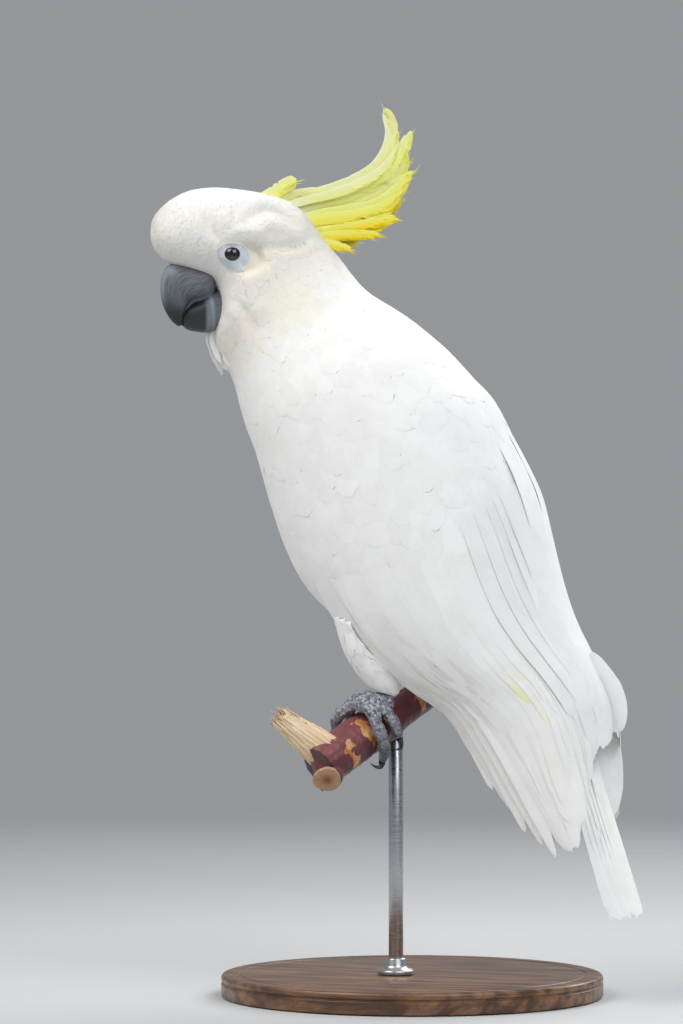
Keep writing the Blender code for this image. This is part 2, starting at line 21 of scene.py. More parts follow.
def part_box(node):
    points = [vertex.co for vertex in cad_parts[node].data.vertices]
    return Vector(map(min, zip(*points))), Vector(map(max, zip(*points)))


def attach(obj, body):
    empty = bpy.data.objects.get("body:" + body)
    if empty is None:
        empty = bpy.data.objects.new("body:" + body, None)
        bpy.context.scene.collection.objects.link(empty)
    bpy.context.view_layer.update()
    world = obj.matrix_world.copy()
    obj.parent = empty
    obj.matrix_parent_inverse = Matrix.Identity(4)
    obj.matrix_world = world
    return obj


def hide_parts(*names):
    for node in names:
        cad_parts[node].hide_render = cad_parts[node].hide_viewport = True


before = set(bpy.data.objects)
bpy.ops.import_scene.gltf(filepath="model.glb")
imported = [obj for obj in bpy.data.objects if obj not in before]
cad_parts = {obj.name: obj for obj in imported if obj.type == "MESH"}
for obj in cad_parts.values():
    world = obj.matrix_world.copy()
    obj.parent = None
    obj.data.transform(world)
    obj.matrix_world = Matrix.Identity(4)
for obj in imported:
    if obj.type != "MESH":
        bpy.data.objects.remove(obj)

LOG = logging.getLogger("cockatoo")
MM = 0.001
VIEW_TURN = 20.0              # degrees from square-on to the side view the rows are drawn in
TWIST_U = -69.85              # where the neck's upright twist axis stands in that view
HEAD_YAW = 32.0               # head turned to the bird's left of the body
SEED = 11
FULL = 2 * math.pi
LEFT = np.array([0.0, -1.0, 0.0])
UP = np.array([0.0, 0.0, 1.0])
HEAD_LEFT = np.array([math.sin(math.radians(HEAD_YAW)), -math.cos(math.radians(HEAD_YAW)), 0.0])

Arr = np.ndarray
Obj = bpy.types.Object
Mat = bpy.types.Material
Row = Sequence[float]
Path = Sequence[Row]
Face = Tuple[int, ...]
Add = Callable[..., bpy.types.Node]
Inputs = Dict[str, Any]          # a node's sockets or values by name


# ---------------------------------------------------------------- numbers and places

def ease(low: float, high: float, value: Any) -> Any:
    """Smooth step from 0 at low to 1 at high, for numbers or arrays."""
    t = np.clip((np.asarray(value, float) - low) / (high - low), 0.0, 1.0)
    return t * t * (3 - 2 * t)


def bell(value: Any, centre: float, width: float) -> Any:
    """Bell curve of height 1 at the centre, for numbers or arrays."""
    return np.exp(-((np.asarray(value, float) - centre) / width) ** 2)


def unit(v: Arr) -> Arr:
    """Vectors of length 1 along the last axis."""
    return v / np.maximum(np.linalg.norm(v, axis=-1, keepdims=True), 1e-12)


def dots(a: Arr, b: Arr) -> Arr:
    """Dot product of each row with its partner."""
    return np.einsum("ij,ij->i", a, b)


def circle(n: int) -> Arr:
    """Angles of n even steps round a turn."""
    return np.linspace(0, FULL, n, endpoint=False)


def along(table: Any, s: Any) -> Arr:
    """Smooth rows of a table at fractional row numbers.

    Args:
        table: Rows of numbers.
        s: One row number or an array of them.

    Returns:
        One row, or an array with a row for each number.
    """
    rows, s = np.asarray(table, float), np.asarray(s, float)
    i = np.clip(np.floor(s).astype(int), 0, len(rows) - 2)
    t = (s - i)[..., None]
    a, b = rows[np.maximum(i - 1, 0)], rows[i]
    c, d = rows[i + 1], rows[np.minimum(i + 2, len(rows) - 1)]
    return 0.5 * (2 * b + (c - a) * t + (2 * a - 5 * b + 4 * c - d) * t * t
                  + (3 * b - a - 3 * c + d) * t ** 3)


def place(u: Any, z: Any, left: Any, yaw: Any) -> Arr:
    """World points, in metres, of middle-plane points moved to the bird's left.

    Args:
        u: Right in the side view, mm.
        z: Up, mm.
        left: Distance left of the middle plane, mm.
        yaw: Turn of the middle plane about the neck, degrees.

    Returns:
        Points, with their coordinates on the last axis.
    """
    u, z, left, yaw = np.broadcast_arrays(*(np.asarray(v, float) for v in (u, z, left, yaw)))
    a = np.radians(yaw)
    q = (u - TWIST_U) / np.cos(np.radians(yaw - VIEW_TURN))
    x0 = TWIST_U / math.cos(math.radians(VIEW_TURN))
    return np.stack([x0 + q * np.cos(a) + left * np.sin(a),
                     q * np.sin(a) - left * np.cos(a), z], axis=-1) * MM


def head_coords(points: Arr) -> Tuple[Arr, Arr, Arr]:
    """Side-view u and z, and distance left of the head's middle plane, in mm.

    Args:
        points: World points, metres.

    Returns:
        u, z and the distance, an array of each.
    """
    p, a = np.asarray(points) / MM, math.radians(HEAD_YAW)
    x = p[..., 0] - TWIST_U / math.cos(math.radians(VIEW_TURN))
    q = x * math.cos(a) + p[..., 1] * math.sin(a)
    return (q * math.cos(math.radians(HEAD_YAW - VIEW_TURN)) + TWIST_U, p[..., 2],
            x * math.sin(a) - p[..., 1] * math.cos(a))


def noise_at(points: Arr, size: float, octaves: int = 3, shift: float = 0.0) -> Arr:
    """Fractal noise, about -1 to 1, whose lumps are `size` metres across."""
    off = Vector((shift, shift * 0.7, -shift))
    return np.array([noise.fractal(Vector(p) / size + off, 0.6, 2.1, octaves) for p in points])


# ---------------------------------------------------------------- meshes

def pull(items: Any, name: str, width: int = 3, kind: type = float) -> Arr:
    """One property of a mesh's elements, as rows of the width given.

    Args:
        items: Vertices, loops or other elements.
        name: The property's name.
        width: Numbers in each row.
        kind: Their type.

    Returns:
        One row for each element.
    """
    out = np.empty(len(items) * width, kind)
    items.foreach_get(name, out)
    return out.reshape(-1, width) if width > 1 else out


def verts_of(ob: Obj) -> Arr:
    """Vertex places of a mesh object as rows."""
    return pull(ob.data.vertices, "co")


def normals_of(ob: Obj) -> Arr:
    """Vertex normals of a mesh object as rows."""
    return pull(ob.data.vertex_normals, "vector")


def corners_of(ob: Obj) -> Arr:
    """Vertex number at each face corner."""
    return pull(ob.data.loops, "vertex_index", 1, int)


def set_verts(ob: Obj, co: Arr) -> None:
    """Put the vertices of a mesh object at the rows given."""
    ob.data.vertices.foreach_set("co", np.asarray(co, float).ravel())
    ob.data.update()


def store(ob: Obj, **marks: Any) -> None:
    """Keep named attributes: a number or a vector for each vertex, cut to their count.

    Args:
        ob: Object that takes them.
        marks: Numbers or vectors by name.
    """
    for name, values in marks.items():
        values = np.asarray(values, float)[:len(ob.data.vertices)]
        kind, slot = ("FLOAT_VECTOR", "vector") if values.ndim == 2 else ("FLOAT", "value")
        ob.data.attributes.new(name, kind, "POINT").data.foreach_set(slot, values.ravel())


def map_uv(ob: Obj, **maps: Any) -> None:
    """Add named UV maps from a place for each vertex.

    Args:
        ob: Object that takes them.
        maps: Places by the name of the map.
    """
    for name, uv in maps.items():
        flat = np.asarray(uv, float)[corners_of(ob)].ravel()
        ob.data.uv_layers.new(name=name).data.foreach_set("uv", flat)


def mesh_object(name: str, points: Any, faces: Sequence[Face], smooth: bool = True,
                weld: float = 0.0, turn_out: bool = False) -> Obj:
    """A linked mesh object from points in metres and faces.

    Args:
        name: Object's name.
        points: Vertex places.
        faces: Vertex numbers of each face.
        smooth: Whether the faces are shaded smooth.
        weld: Distance under which vertices merge, metres.
        turn_out: Whether the faces are turned outwards without a weld.

    Returns:
        The object.
    """
    me = bpy.data.meshes.new(name)
    me.from_pydata(np.asarray(points, float).tolist(), [], [list(map(int, f)) for f in faces])
    if weld or turn_out:
        bm = bmesh.new()
        bm.from_mesh(me)
        if weld:
            bmesh.ops.remove_doubles(bm, verts=bm.verts, dist=weld)
            bmesh.ops.dissolve_degenerate(bm, edges=bm.edges, dist=weld)
        bmesh.ops.recalc_face_normals(bm, faces=bm.faces)
        bm.to_mesh(me)
        bm.free()
    me.shade_smooth() if smooth else me.shade_flat()
    ob = bpy.data.objects.new(name, me)
    bpy.context.scene.collection.objects.link(ob)
    return ob


def belt(rings: int, n: int) -> List[Face]:
    """Faces between rings of n points each, in order."""
    return [(i * n + j, i * n + (j + 1) % n, (i + 1) * n + (j + 1) % n, (i + 1) * n + j)
            for i in range(rings - 1) for j in range(n)]


def shell(rows: int, cols: int) -> Tuple[Arr, Arr]:
    """Faces that close a vane's upper and lower grids of points round their shared rim.

    Args:
        rows: Points along the vane.
        cols: Points across it.

    Returns:
        The faces, and the grid places that also have a lower point, in its order.
    """
    count = rows * cols
    rim = np.ones((rows, cols), bool)
    rim[1:-1, 1:-1] = False
    inner, low = np.nonzero(~rim.ravel())[0], np.arange(count)
    low[inner] = count + np.arange(len(inner))
    up, low = np.arange(count).reshape(rows, cols), low.reshape(rows, cols)
    quads = [np.stack([g[a, :-1], g[a, 1:], g[b, 1:], g[b, :-1]], -1).reshape(-1, 4)
             for g, a, b in ((up, slice(None, -1), slice(1, None)),
                             (low, slice(1, None), slice(None, -1)))]
    return np.concatenate(quads), inner


def lofted(name: str, rings: Sequence[Arr], weld: float = 1e-6) -> Obj:
    """Rings of equal count joined in order, both ends closed to a middle point.

    Args:
        name: Object's name.
        rings: Points of each ring, metres.
        weld: Distance under which vertices merge, metres.

    Returns:
        The closed form.
    """
    n, rings = len(rings[0]), [np.asarray(r) for r in rings]
    points = np.concatenate(rings + [rings[0].mean(0)[None], rings[-1].mean(0)[None]])
    first, off = len(points) - 2, (len(rings) - 1) * n
    faces = belt(len(rings), n)
    faces += [((j + 1) % n, j, first) for j in range(n)]
    faces += [(off + j, off + (j + 1) % n, first + 1) for j in range(n)]
    return mesh_object(name, points, faces, weld=weld)


def join(name: str, obs: Sequence[Obj]) -> Obj:
    """Join objects into the first one and name it.

    Args:
        name: Name of the joined object.
        obs: Objects, of which the first one stays.

    Returns:
        The joined object.
    """
    bpy.ops.object.select_all(action="DESELECT")
    for ob in obs:
        ob.select_set(True)
    bpy.context.view_layer.objects.active = obs[0]
    bpy.ops.object.join()
    obs[0].name = obs[0].data.name = name
    return obs[0]


def copy_of(names: Sequence[str], name: str, grow: float = 0.0) -> Obj:
    """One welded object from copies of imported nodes.

    Args:
        names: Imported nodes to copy.
        name: New object's name.
        grow: How far the copies are fattened, metres.

    Returns:
        The copy.
    """
    bm, ob = bmesh.new(), mesh_object(name, [], [])
    for key in names:
        bm.from_mesh(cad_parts[key].data)
    bmesh.ops.remove_doubles(bm, verts=bm.verts, dist=2e-6)
    bm.normal_update()
    for v in bm.verts:
        v.co += v.normal * grow
    bm.to_mesh(ob.data)
    bm.free()
    return ob


def apply_modifier(ob: Obj, kind: str, inputs: Optional[Dict[str, Any]] = None,
                   **settings: Any) -> None:
    """Add a modifier, take its result as the mesh, and remove it.

    Args:
        ob: Object that takes it.
        kind: Type of modifier.
        inputs: Values by socket identifier, for a node tree.
        settings: Its properties.
    """
    mod = ob.modifiers.new("shape", kind)
    for name, value in settings.items():
        setattr(mod, name, value)
    for key, value in (inputs or {}).items():
        mod[key] = value
    deps = bpy.context.evaluated_depsgraph_get()
    me = bpy.data.meshes.new_from_object(ob.evaluated_get(deps))
    ob.modifiers.remove(mod)
    old, ob.data = ob.data, me
    bpy.data.meshes.remove(old)
    me.name = ob.name


def remesh(ob: Obj, voxel: float) -> None:
    """Rebuild a mesh on a voxel grid and keep its largest shell.

    Args:
        ob: Object to rebuild.
        voxel: Size of a cell, metres.
    """
    apply_modifier(ob, "REMESH", mode="VOXEL", voxel_size=voxel, adaptivity=0.0)
    bm = bmesh.new()
    bm.from_mesh(ob.data)
    left, shells = set(bm.verts), []
    while left:
        found, stack = [], [left.pop()]
        while stack:
            found.append(stack.pop())
            near = {e.other_vert(found[-1]) for e in found[-1].link_edges} & left
            left -= near
            stack.extend(near)
        shells.append(found)
    for found in sorted(shells, key=len)[:-1]:
        bmesh.ops.delete(bm, geom=found, context="VERTS")
    bm.to_mesh(ob.data)
    bm.free()
    ob.data.shade_smooth()


def smooth(ob: Obj, rounds: int, values: Optional[Arr] = None, weight: float = 0.5) -> Arr:
    """Average each vertex, or a value kept for each, with its neighbours.

    Args:
        ob: Mesh object whose edges say which vertices are neighbours.
        rounds: Number of passes.
        values: Rows to average; the vertex places when left out.
        weight: How far each value moves to its neighbours' mean.

    Returns:
        The averaged rows.
    """
    a, b = pull(ob.data.edges, "vertices", 2, int).T
    own = verts_of(ob) if values is None else np.asarray(values, float)
    flat = own.reshape(len(own), -1)
    n = len(flat)
    count = np.bincount(a, minlength=n) + np.bincount(b, minlength=n)
    for _ in range(rounds):
        total = np.stack([np.bincount(a, v[b], n) + np.bincount(b, v[a], n) for v in flat.T], 1)
        flat = flat + (total / np.maximum(count, 1)[:, None] - flat) * weight
    out = flat.reshape(own.shape)
    if values is None:
        set_verts(ob, out)
    return out


def soften(ob: Obj, look: Arr, share: float) -> None:
    """Turn the shading of a piece's upper sides toward the body's, as downy barbs do.

    Args:
        ob: Finished feathers.
        look: For each vertex, the direction that the body faces there.
        share: How much of that direction the upper sides take.
    """
    me, corner = ob.data, corners_of(ob)
    face = np.repeat(pull(me.polygon_normals, "vector"),
                     pull(me.polygons, "loop_total", 1, int), axis=0)
    own, look = normals_of(ob)[corner], look[corner]
    facing = dots(face, look)
    part = (share * ease(0.05, 0.35, facing))[:, None]
    mixed = unit(own * (1 - part) + look * part)
    me.normals_split_custom_set(np.where((facing > 0.05)[:, None], mixed, face).tolist())


def dress(ob: Obj, material: Mat, replaces: Sequence[str] = ()) -> None:
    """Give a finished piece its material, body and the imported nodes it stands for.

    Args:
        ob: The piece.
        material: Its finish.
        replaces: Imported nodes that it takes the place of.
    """
    ob.data.materials.clear()
    ob.data.materials.append(material)
    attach(ob, "root")
    if replaces:
        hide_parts(*replaces)
    LOG.info("%s: %d faces", ob.name, len(ob.data.polygons))


def tree_of(points: Arr) -> KDTree:
    """Search tree of points that answers with their numbers.

    Args:
        points: World points, metres.

    Returns:
        The tree.
    """
    tree = KDTree(len(points))
    for k, p in enumerate(points):
        tree.insert(p, k)
    tree.balance()
    return tree


# ---------------------------------------------------------------- finishes

def srgb(code: str) -> Tuple[float, float, float, float]:
    """Linear colour, with full alpha, of an sRGB hex code.

    Args:
        code: A hash sign and six hex digits.

    Returns:
        Red, green, blue and alpha, 0 to 1.
    """
    parts = [int(code[i:i + 2], 16) / 255 for i in (1, 3, 5)]
    lin = [c / 12.92 if c <= 0.04045 else ((c + 0.055) / 1.055) ** 2.4 for c in parts]
    return (lin[0], lin[1], lin[2], 1.0)


def node(tree: bpy.types.NodeTree, kind: str, into: Any = (),
         **settings: Any) -> bpy.types.Node:
    """Add a node with its settings, values and links.

    Args:
        tree: Tree that takes the node.
        kind: Node type's identifier; a shader node's may leave out its start.
        into: Value, hex colour, socket or node for each input, in order or by name or place.
        settings: Properties set before the inputs.

    Returns:
        The new node.
    """
    made = tree.nodes.new(kind if "Node" in kind else "ShaderNode" + kind)
    for name, value in settings.items():
        setattr(made, name, value)
    for key, value in (into if isinstance(into, dict) else dict(enumerate(into))).items():
        if isinstance(key, int):
            socket = made.inputs[key]
        else:
            socket = next(s for s in made.inputs if s.name == key and s.enabled)
        if isinstance(value, bpy.types.Node):
            value = next(s for s in value.outputs if s.enabled)
        if isinstance(value, bpy.types.NodeSocket):
            tree.links.new(value, socket)
        else:
            socket.default_value = srgb(value) if str(value)[:1] == "#" else value
    return made


@dataclass(frozen=True)
class Finish:
    """What every finish shares; a subclass says how it is painted."""

    name: str
    marks: Sequence[str] = ()     # stored attributes that it reads

    def paint(self, add: Add, spot: Any, mark: Inputs) -> Inputs:
        """Choose the Principled shader's inputs.

        Args:
            add: Adds a node to the material's tree.
            spot: Object coordinates.
            mark: Stored attributes by name.

        Returns:
            The inputs by name, and `Bump` as strength, distance and height.
        """
        raise NotImplementedError

    def layered(self, add: Add, colour: Any, layers: Sequence[Sequence[Any]]) -> Any:
        """Lay colours over one another.

        Args:
            add: Adds a node to the material's tree.
            colour: Lowest colour.
            layers: Mask and colour of each next one, and the mask's low and high end if it is
                stretched, with the cover at both ends if they aren't 0 and 1.

        Returns:
            The last colour's node.
        """
        for mask, over, *span in layers:
            if span:
                mask = add("MapRange", [mask, *span], interpolation_type="SMOOTHSTEP")
            colour = add("Mix", {"Factor": mask, "A": colour, "B": over}, data_type="RGBA")
        return colour

    def make(self) -> Mat:
        """Build the material."""
        mat = bpy.data.materials.new(self.name)
        mat.use_nodes = True
        mat.node_tree.nodes.clear()
        add = partial(node, mat.node_tree)
        spot = add("TexCoord").outputs["Object"]
        mark = {k: add("Attribute", attribute_name=k).outputs["Fac"] for k in self.marks}
        inputs = self.paint(add, spot, mark)
        if "Bump" in inputs:
            inputs["Normal"] = add("Bump", dict(zip(("Strength", "Distance", "Height"),
                                                    inputs.pop("Bump"))))
        add("OutputMaterial", {"Surface": add("BsdfPrincipled", inputs)})
        return mat


@dataclass(frozen=True)
class Plumage(Finish):
    """Powdery keratin feather: matt, soft-edged, with barbs combed to the edge."""

    name: str = "white_feather_keratin"
    marks: Sequence[str] = ("wash", "warm", "tint")
    white: str = "#FBFBFA"
    shade: str = "#E9E8E5"
    cream: str = "#EADFC3"
    lemon: str = "#EEF07A"
    deep: str = "#EFD91E"
    barb_mm: float = 0.9          # real barbs are 0.3 mm apart; drawn coarser so that they show
    barb_bump: float = 0.10
    roughness: float = 0.72
    vane: bool = True

    def paint(self, add: Add, spot: Any, mark: Inputs) -> Inputs:
        """Combed barbs from the feather's own map, painted shade along each vane's edges and root,
        washed where the coat's marks say.

        Args:
            add, spot, mark: As in `Finish.paint`.

        Returns:
            The inputs by name.
        """
        cloud = add("TexNoise", {"Vector": spot, "Scale": 70.0, "Detail": 3.0})
        tint = add("Math", [mark["tint"], 0.35], operation="MULTIPLY")
        warm = add("Math", [mark["warm"], 0.60], operation="MULTIPLY")
        layers: List[Sequence[Any]] = [(cloud, self.shade, 0.35, 0.75, 0.0, 0.35),
                                       (tint, self.shade), (warm, self.cream)]
        height = cloud
        if self.vane:
            parts = add("SeparateXYZ", [add("UVMap", uv_map="Vane")]).outputs
            across = add("Math", [parts["X"], 0.5], operation="SUBTRACT")
            off = add("Math", [across], operation="ABSOLUTE")
            slant = add("Math", [off, -0.9, parts["Y"]], operation="MULTIPLY_ADD")
            waver = add("Math", [cloud, 0.05, slant], operation="MULTIPLY_ADD")
            comb = add("Math", [waver, 34.0 / self.barb_mm], operation="MULTIPLY")
            barbs = add("TexNoise", {"W": comb, "Scale": 1.0, "Detail": 2.0},
                        noise_dimensions="1D")
            # The edge and root masks lay the shade colour on the vane as painted shade where the
            # feathers overlap.
            shaft, edge, root = (
                add("MapRange", [value, *span], interpolation_type="SMOOTHSTEP")
                for value, *span in ((off, 0.0, 0.05, 1.0, 0.0), (off, 0.36, 0.5, 0.0, 0.12),
                                     (parts["Y"], 0.0, 0.55, 0.25, 0.0)))
            # Painted shade: each vane darker at its edges and at its root.
            rim = add("Math", [edge, root], operation="MAXIMUM")
            layers += [(barbs, self.shade, 0.40, 0.62, 0.0, 0.16), (rim, self.shade)]
            height = add("Math", [shaft, 0.4, barbs], operation="MULTIPLY_ADD")
        layers += [(mark["wash"], self.lemon, 0.0, 0.55), (mark["wash"], self.deep, 0.45, 1.0)]
        return {"Base Color": self.layered(add, self.white, layers),
                "Roughness": self.roughness, "Bump": (self.barb_bump * 2, 0.0006, height),
                "Sheen Weight": 0.10, "Sheen Roughness": 0.5, "IOR": 1.54,
                "Specular IOR Level": 0.2}


@dataclass(frozen=True)
class BareSkin(Finish):
    """Bare, finely wrinkled skin of the eye ring: soft, pale and slightly waxy."""

    name: str = "pale_blue_eye_skin"
    marks: Sequence[str] = ("fade", "rim")
    base: str = "#D6DDE4"
    fold: str = "#BAC5CF"
    pale: str = "#DDE3EA"
    outer: str = "#EFECE4"        # where the ring passes under the feathers
    lid: str = "#56606E"
    crease_mm: float = 0.9        # spacing of the fine wrinkles

    def paint(self, add: Add, spot: Any, mark: Inputs) -> Inputs:
        """Wrinkles from a cell pattern, a dark lid rim and a pale outer edge.

        Args:
            add, spot, mark: As in `Finish.paint`.

        Returns:
            The inputs by name.
        """
        cells = add("TexVoronoi", {"Vector": spot, "Scale": 1000 / self.crease_mm},
                    feature="SMOOTH_F1")
        cloud = add("TexNoise", {"Vector": spot, "Scale": 420.0})
        colour = self.layered(add, self.base, (
            (cells, self.fold, 0.1, 0.7, 0.55, 0.0), (cloud, self.pale, 0.4, 0.7, 0.0, 0.4),
            (mark["fade"], self.outer), (mark["rim"], self.lid)))
        return {"Base Color": colour, "Roughness": 0.48, "Bump": (0.5, 0.0003, cells),
                "IOR": 1.45}


@dataclass(frozen=True)
class EyeGlaze(Finish):
    """Wet cornea over a near-black brown iris: mirror-smooth."""

    name: str = "wet_dark_eye"
    marks: Sequence[str] = ("from_pupil",)
    iris: str = "#1C0E0A"
    ray: str = "#2C170F"
    pupil: str = "#060404"
    limbus: str = "#0B0808"

    def paint(self, add: Add, spot: Any, mark: Inputs) -> Inputs:
        """Pupil, rayed iris and dark limbus by the distance from the pupil's middle.

        Args:
            add, spot, mark: As in `Finish.paint`.

        Returns:
            The inputs by name.
        """
        rays = add("TexNoise", {"Vector": spot, "Scale": 2500.0})
        iris = self.layered(add, self.iris, [(rays, self.ray, 0.35, 0.7)])
        colour = self.layered(add, self.pupil, ((mark["from_pupil"], iris, 0.40, 0.47),
                                                (mark["from_pupil"], self.limbus, 0.70, 0.84)))
        return {"Base Color": colour, "Roughness": 0.04, "Coat Weight": 1.0,
                "Coat Roughness": 0.02, "IOR": 1.38}


@dataclass(frozen=True)
class Horn(Finish):
    """Slate-grey keratin, grown in layers and dusted with powder down."""

    name: str = "slate_bill_horn"
    marks: Sequence[str] = ("culmen", "tip", "edge")
    low: str = "#404349"
    high: str = "#858A92"
    body: str = "#565A61"
    # Colour of the dark tip, and of the painted shade on the upper mandible's lower half and on
    # the lower mandible.
    dark: str = "#15171B"
    # Colour of the painted highlights on the ridge and on the lower mandible's side.
    pale: str = "#A3AEBD"
    # Colour laid along the cutting edges as a painted highlight.
    worn: str = "#8A93A1"
    streak_mm: float = 0.6        # width of the growth streaks that run from base to tip
    roughness: float = 0.46

    def paint(self, add: Add, spot: Any, mark: Inputs) -> Inputs:
        """Streaks from the horn's own map, which runs across the bill and root to tip.

        Args:
            add, spot, mark: As in `Finish.paint`.

        Returns:
            The inputs by name.
        """
        long = add("VectorMath", [add("UVMap", uv_map="Growth"),
                                  (60.0 / self.streak_mm, 6.0, 1.0)], operation="MULTIPLY")
        streak = add("TexNoise", {"Vector": long, "Scale": 1.0, "Detail": 5.0,
                                  "Roughness": 0.65})
        flaky = add("TexNoise", {"Vector": spot, "Scale": 260.0, "Detail": 6.0})
        # Over the streaked horn: painted highlights on the ridge, the side and the cutting edges,
        # then the dark tip and painted shade.
        colour = self.layered(add, self.low, (
            (streak, self.high, 0.32, 0.68, 0.1, 0.65), (flaky, self.body, 0.45, 0.75, 0.0, 0.4),
            (mark["culmen"], self.pale), (mark["tip"], self.dark), (mark["edge"], self.worn)))
        rough = add("Math", [flaky, 0.3, self.roughness - 0.12], operation="MULTIPLY_ADD")
        return {"Base Color": colour, "Roughness": rough, "Bump": (0.25, 0.0004, streak),
                "IOR": 1.55}


@dataclass(frozen=True)
class ScalySkin(Finish):
    """Thick grey reticulate leg skin: small horny grains, with pale dust and a painted highlight
    on the upper scales.
    """

    name: str = "grey_scaly_leg_skin"
    low: str = "#5F636C"
    scale: str = "#8B8F9A"
    groove: str = "#454951"
    # Pale colour of the dust, laid stronger higher up as a painted highlight.
    bloom: str = "#D6D7DE"
    grain_mm: float = 1.5

    def paint(self, add: Add, spot: Any, mark: Inputs) -> Inputs:
        """Grains from a cell pattern, with pale dust specks that grow stronger with height, a
        painted highlight on the upper scales.

        Args:
            add, spot: As in `Finish.paint`; mark is not used.

        Returns:
            The inputs by name.
        """
        cells = add("TexVoronoi", {"Vector": spot, "Scale": 1000 / self.grain_mm},
                    feature="DISTANCE_TO_EDGE")
        cloud = add("TexNoise", {"Vector": spot, "Scale": 160.0, "Detail": 4.0})
        dust = add("TexNoise", {"Vector": spot, "Scale": 560.0, "Detail": 3.0})
        high = add("SeparateXYZ", [spot]).outputs["Z"]
        # The dust is stronger higher up: a painted highlight on the upper scales.
        specks, top, relief = (
            add("MapRange", [value, *span], interpolation_type="SMOOTHSTEP")
            for value, *span in ((dust, 0.40, 0.64), (high, 0.132, 0.166, 0.12, 0.8),
                                 (cells, 0.0, 0.3)))
        top_dust_and_highlight = add("Math", [specks, top], operation="MULTIPLY")
        colour = self.layered(add, self.low, (
            (cloud, self.scale, 0.36, 0.66), (top_dust_and_highlight, self.bloom),
            (cells, self.groove, 0.0, 0.10, 0.55, 0.0)))
        return {"Base Color": colour, "Roughness": 0.55, "Bump": (0.7, 0.0005, relief),
                "IOR": 1.5}


@dataclass(frozen=True)
class Claw(Finish):
    """Black-brown claw horn, polished by use, with fine paler mottling."""

    name: str = "dark_claw_horn"
    low: str = "#17181C"
    high: str = "#454A54"

    def paint(self, add: Add, spot: Any, mark: Inputs) -> Inputs:
        """Dark horn, mottled by a fine grain.

        Args:
            add, spot: As in `Finish.paint`; mark is not used.

        Returns:
            The inputs by name.
        """
        grain = add("TexNoise", {"Vector": spot, "Scale": 900.0, "Detail": 3.0})
        return {"Base Color": self.layered(add, self.low, [(grain, self.high, 0.35, 0.7)]),
                "Roughness": 0.33, "Bump": (0.25, 0.0002, grain), "IOR": 1.55}


@dataclass(frozen=True)
class Bark(Finish):
    """Smooth red-brown bark with a waxy sheen, worn off in buff patches; its upper side is painted
    lighter and its underside near-black, as painted light and shade.
    """

    name: str = "red_brown_bark"
    marks: Sequence[str] = ("worn", "upward")
    # Painted light and shade: the upper side takes this colour and the underside the near-black
    # one below.
    top: str = "#84444A"
    under: str = "#240A12"
    mottle: str = "#5E2A2A"
    pore: str = "#B98A72"
    inner: str = "#B4672F"
    patch: str = "#CFA273"
    pore_mm: float = 1.2

    def paint(self, add: Add, spot: Any, mark: Inputs) -> Inputs:
        """Painted light on the upper side and painted shade below, pores, and bare wood where the
        bark is worn.

        Args:
            add, spot, mark: As in `Finish.paint`.

        Returns:
            The inputs by name.
        """
        cloud = add("TexNoise", {"Vector": spot, "Scale": 120.0, "Detail": 5.0,
                                 "Roughness": 0.6})
        pores = add("TexVoronoi", {"Vector": spot, "Scale": 1000 / self.pore_mm / 1.6})
        wood = self.layered(add, self.inner, [(cloud, self.patch, 0.4, 0.62)])
        speck = add("Math", [cloud, 0.55, mark["worn"]], operation="MULTIPLY_ADD")
        # The lit top over the near-black underside: painted light and shade.
        colour = self.layered(add, self.under, (
            (mark["upward"], self.top), (cloud, self.mottle, 0.38, 0.68, 0.0, 0.5),
            (pores, self.pore, 0.0, 0.16, 0.5, 0.0), (speck, wood, 0.58, 0.66)))
        height = add("Math", [pores, 0.35, cloud], operation="MULTIPLY_ADD")
        rough = add("MapRange", [speck, 0.57, 0.68, 0.42, 0.8], interpolation_type="SMOOTHSTEP")
        return {"Base Color": colour, "Roughness": rough, "Bump": (0.55, 0.0009, height),
                "IOR": 1.5, "Sheen Weight": 0.15, "Sheen Tint": "#E8B8B4"}


@dataclass(frozen=True)
class RawWood(Finish):
    """Freshly broken or cut pale wood: dry fibres, darker towards the pith."""

    name: str = "pale_torn_wood"
    marks: Sequence[str] = ("deep",)
    pale: str = "#F8E8CB"
    tan: str = "#E6C494"
    dry: str = "#EFD6AC"
    heart: str = "#8E5228"
    fibre_mm: float = 0.7

    def paint(self, add: Add, spot: Any, mark: Inputs) -> Inputs:
        """Fibres from the piece's own map, which runs along them.

        Args:
            add, spot, mark: As in `Finish.paint`.

        Returns:
            The inputs by name.
        """
        long = add("VectorMath", [add("UVMap", uv_map="Grain"),
                                  (40.0 / self.fibre_mm, 3.0, 1.0)], operation="MULTIPLY")
        fibre = add("TexNoise", {"Vector": long, "Scale": 1.0, "Detail": 4.0})
        cloud = add("TexNoise", {"Vector": spot, "Scale": 220.0})
        colour = self.layered(add, self.tan, (
            (fibre, self.pale, 0.36, 0.64), (cloud, self.dry, 0.45, 0.7, 0.0, 0.5),
            (mark["deep"], self.heart)))
        return {"Base Color": colour, "Roughness": 0.82, "Bump": (0.8, 0.0006, fibre),
                "IOR": 1.5}


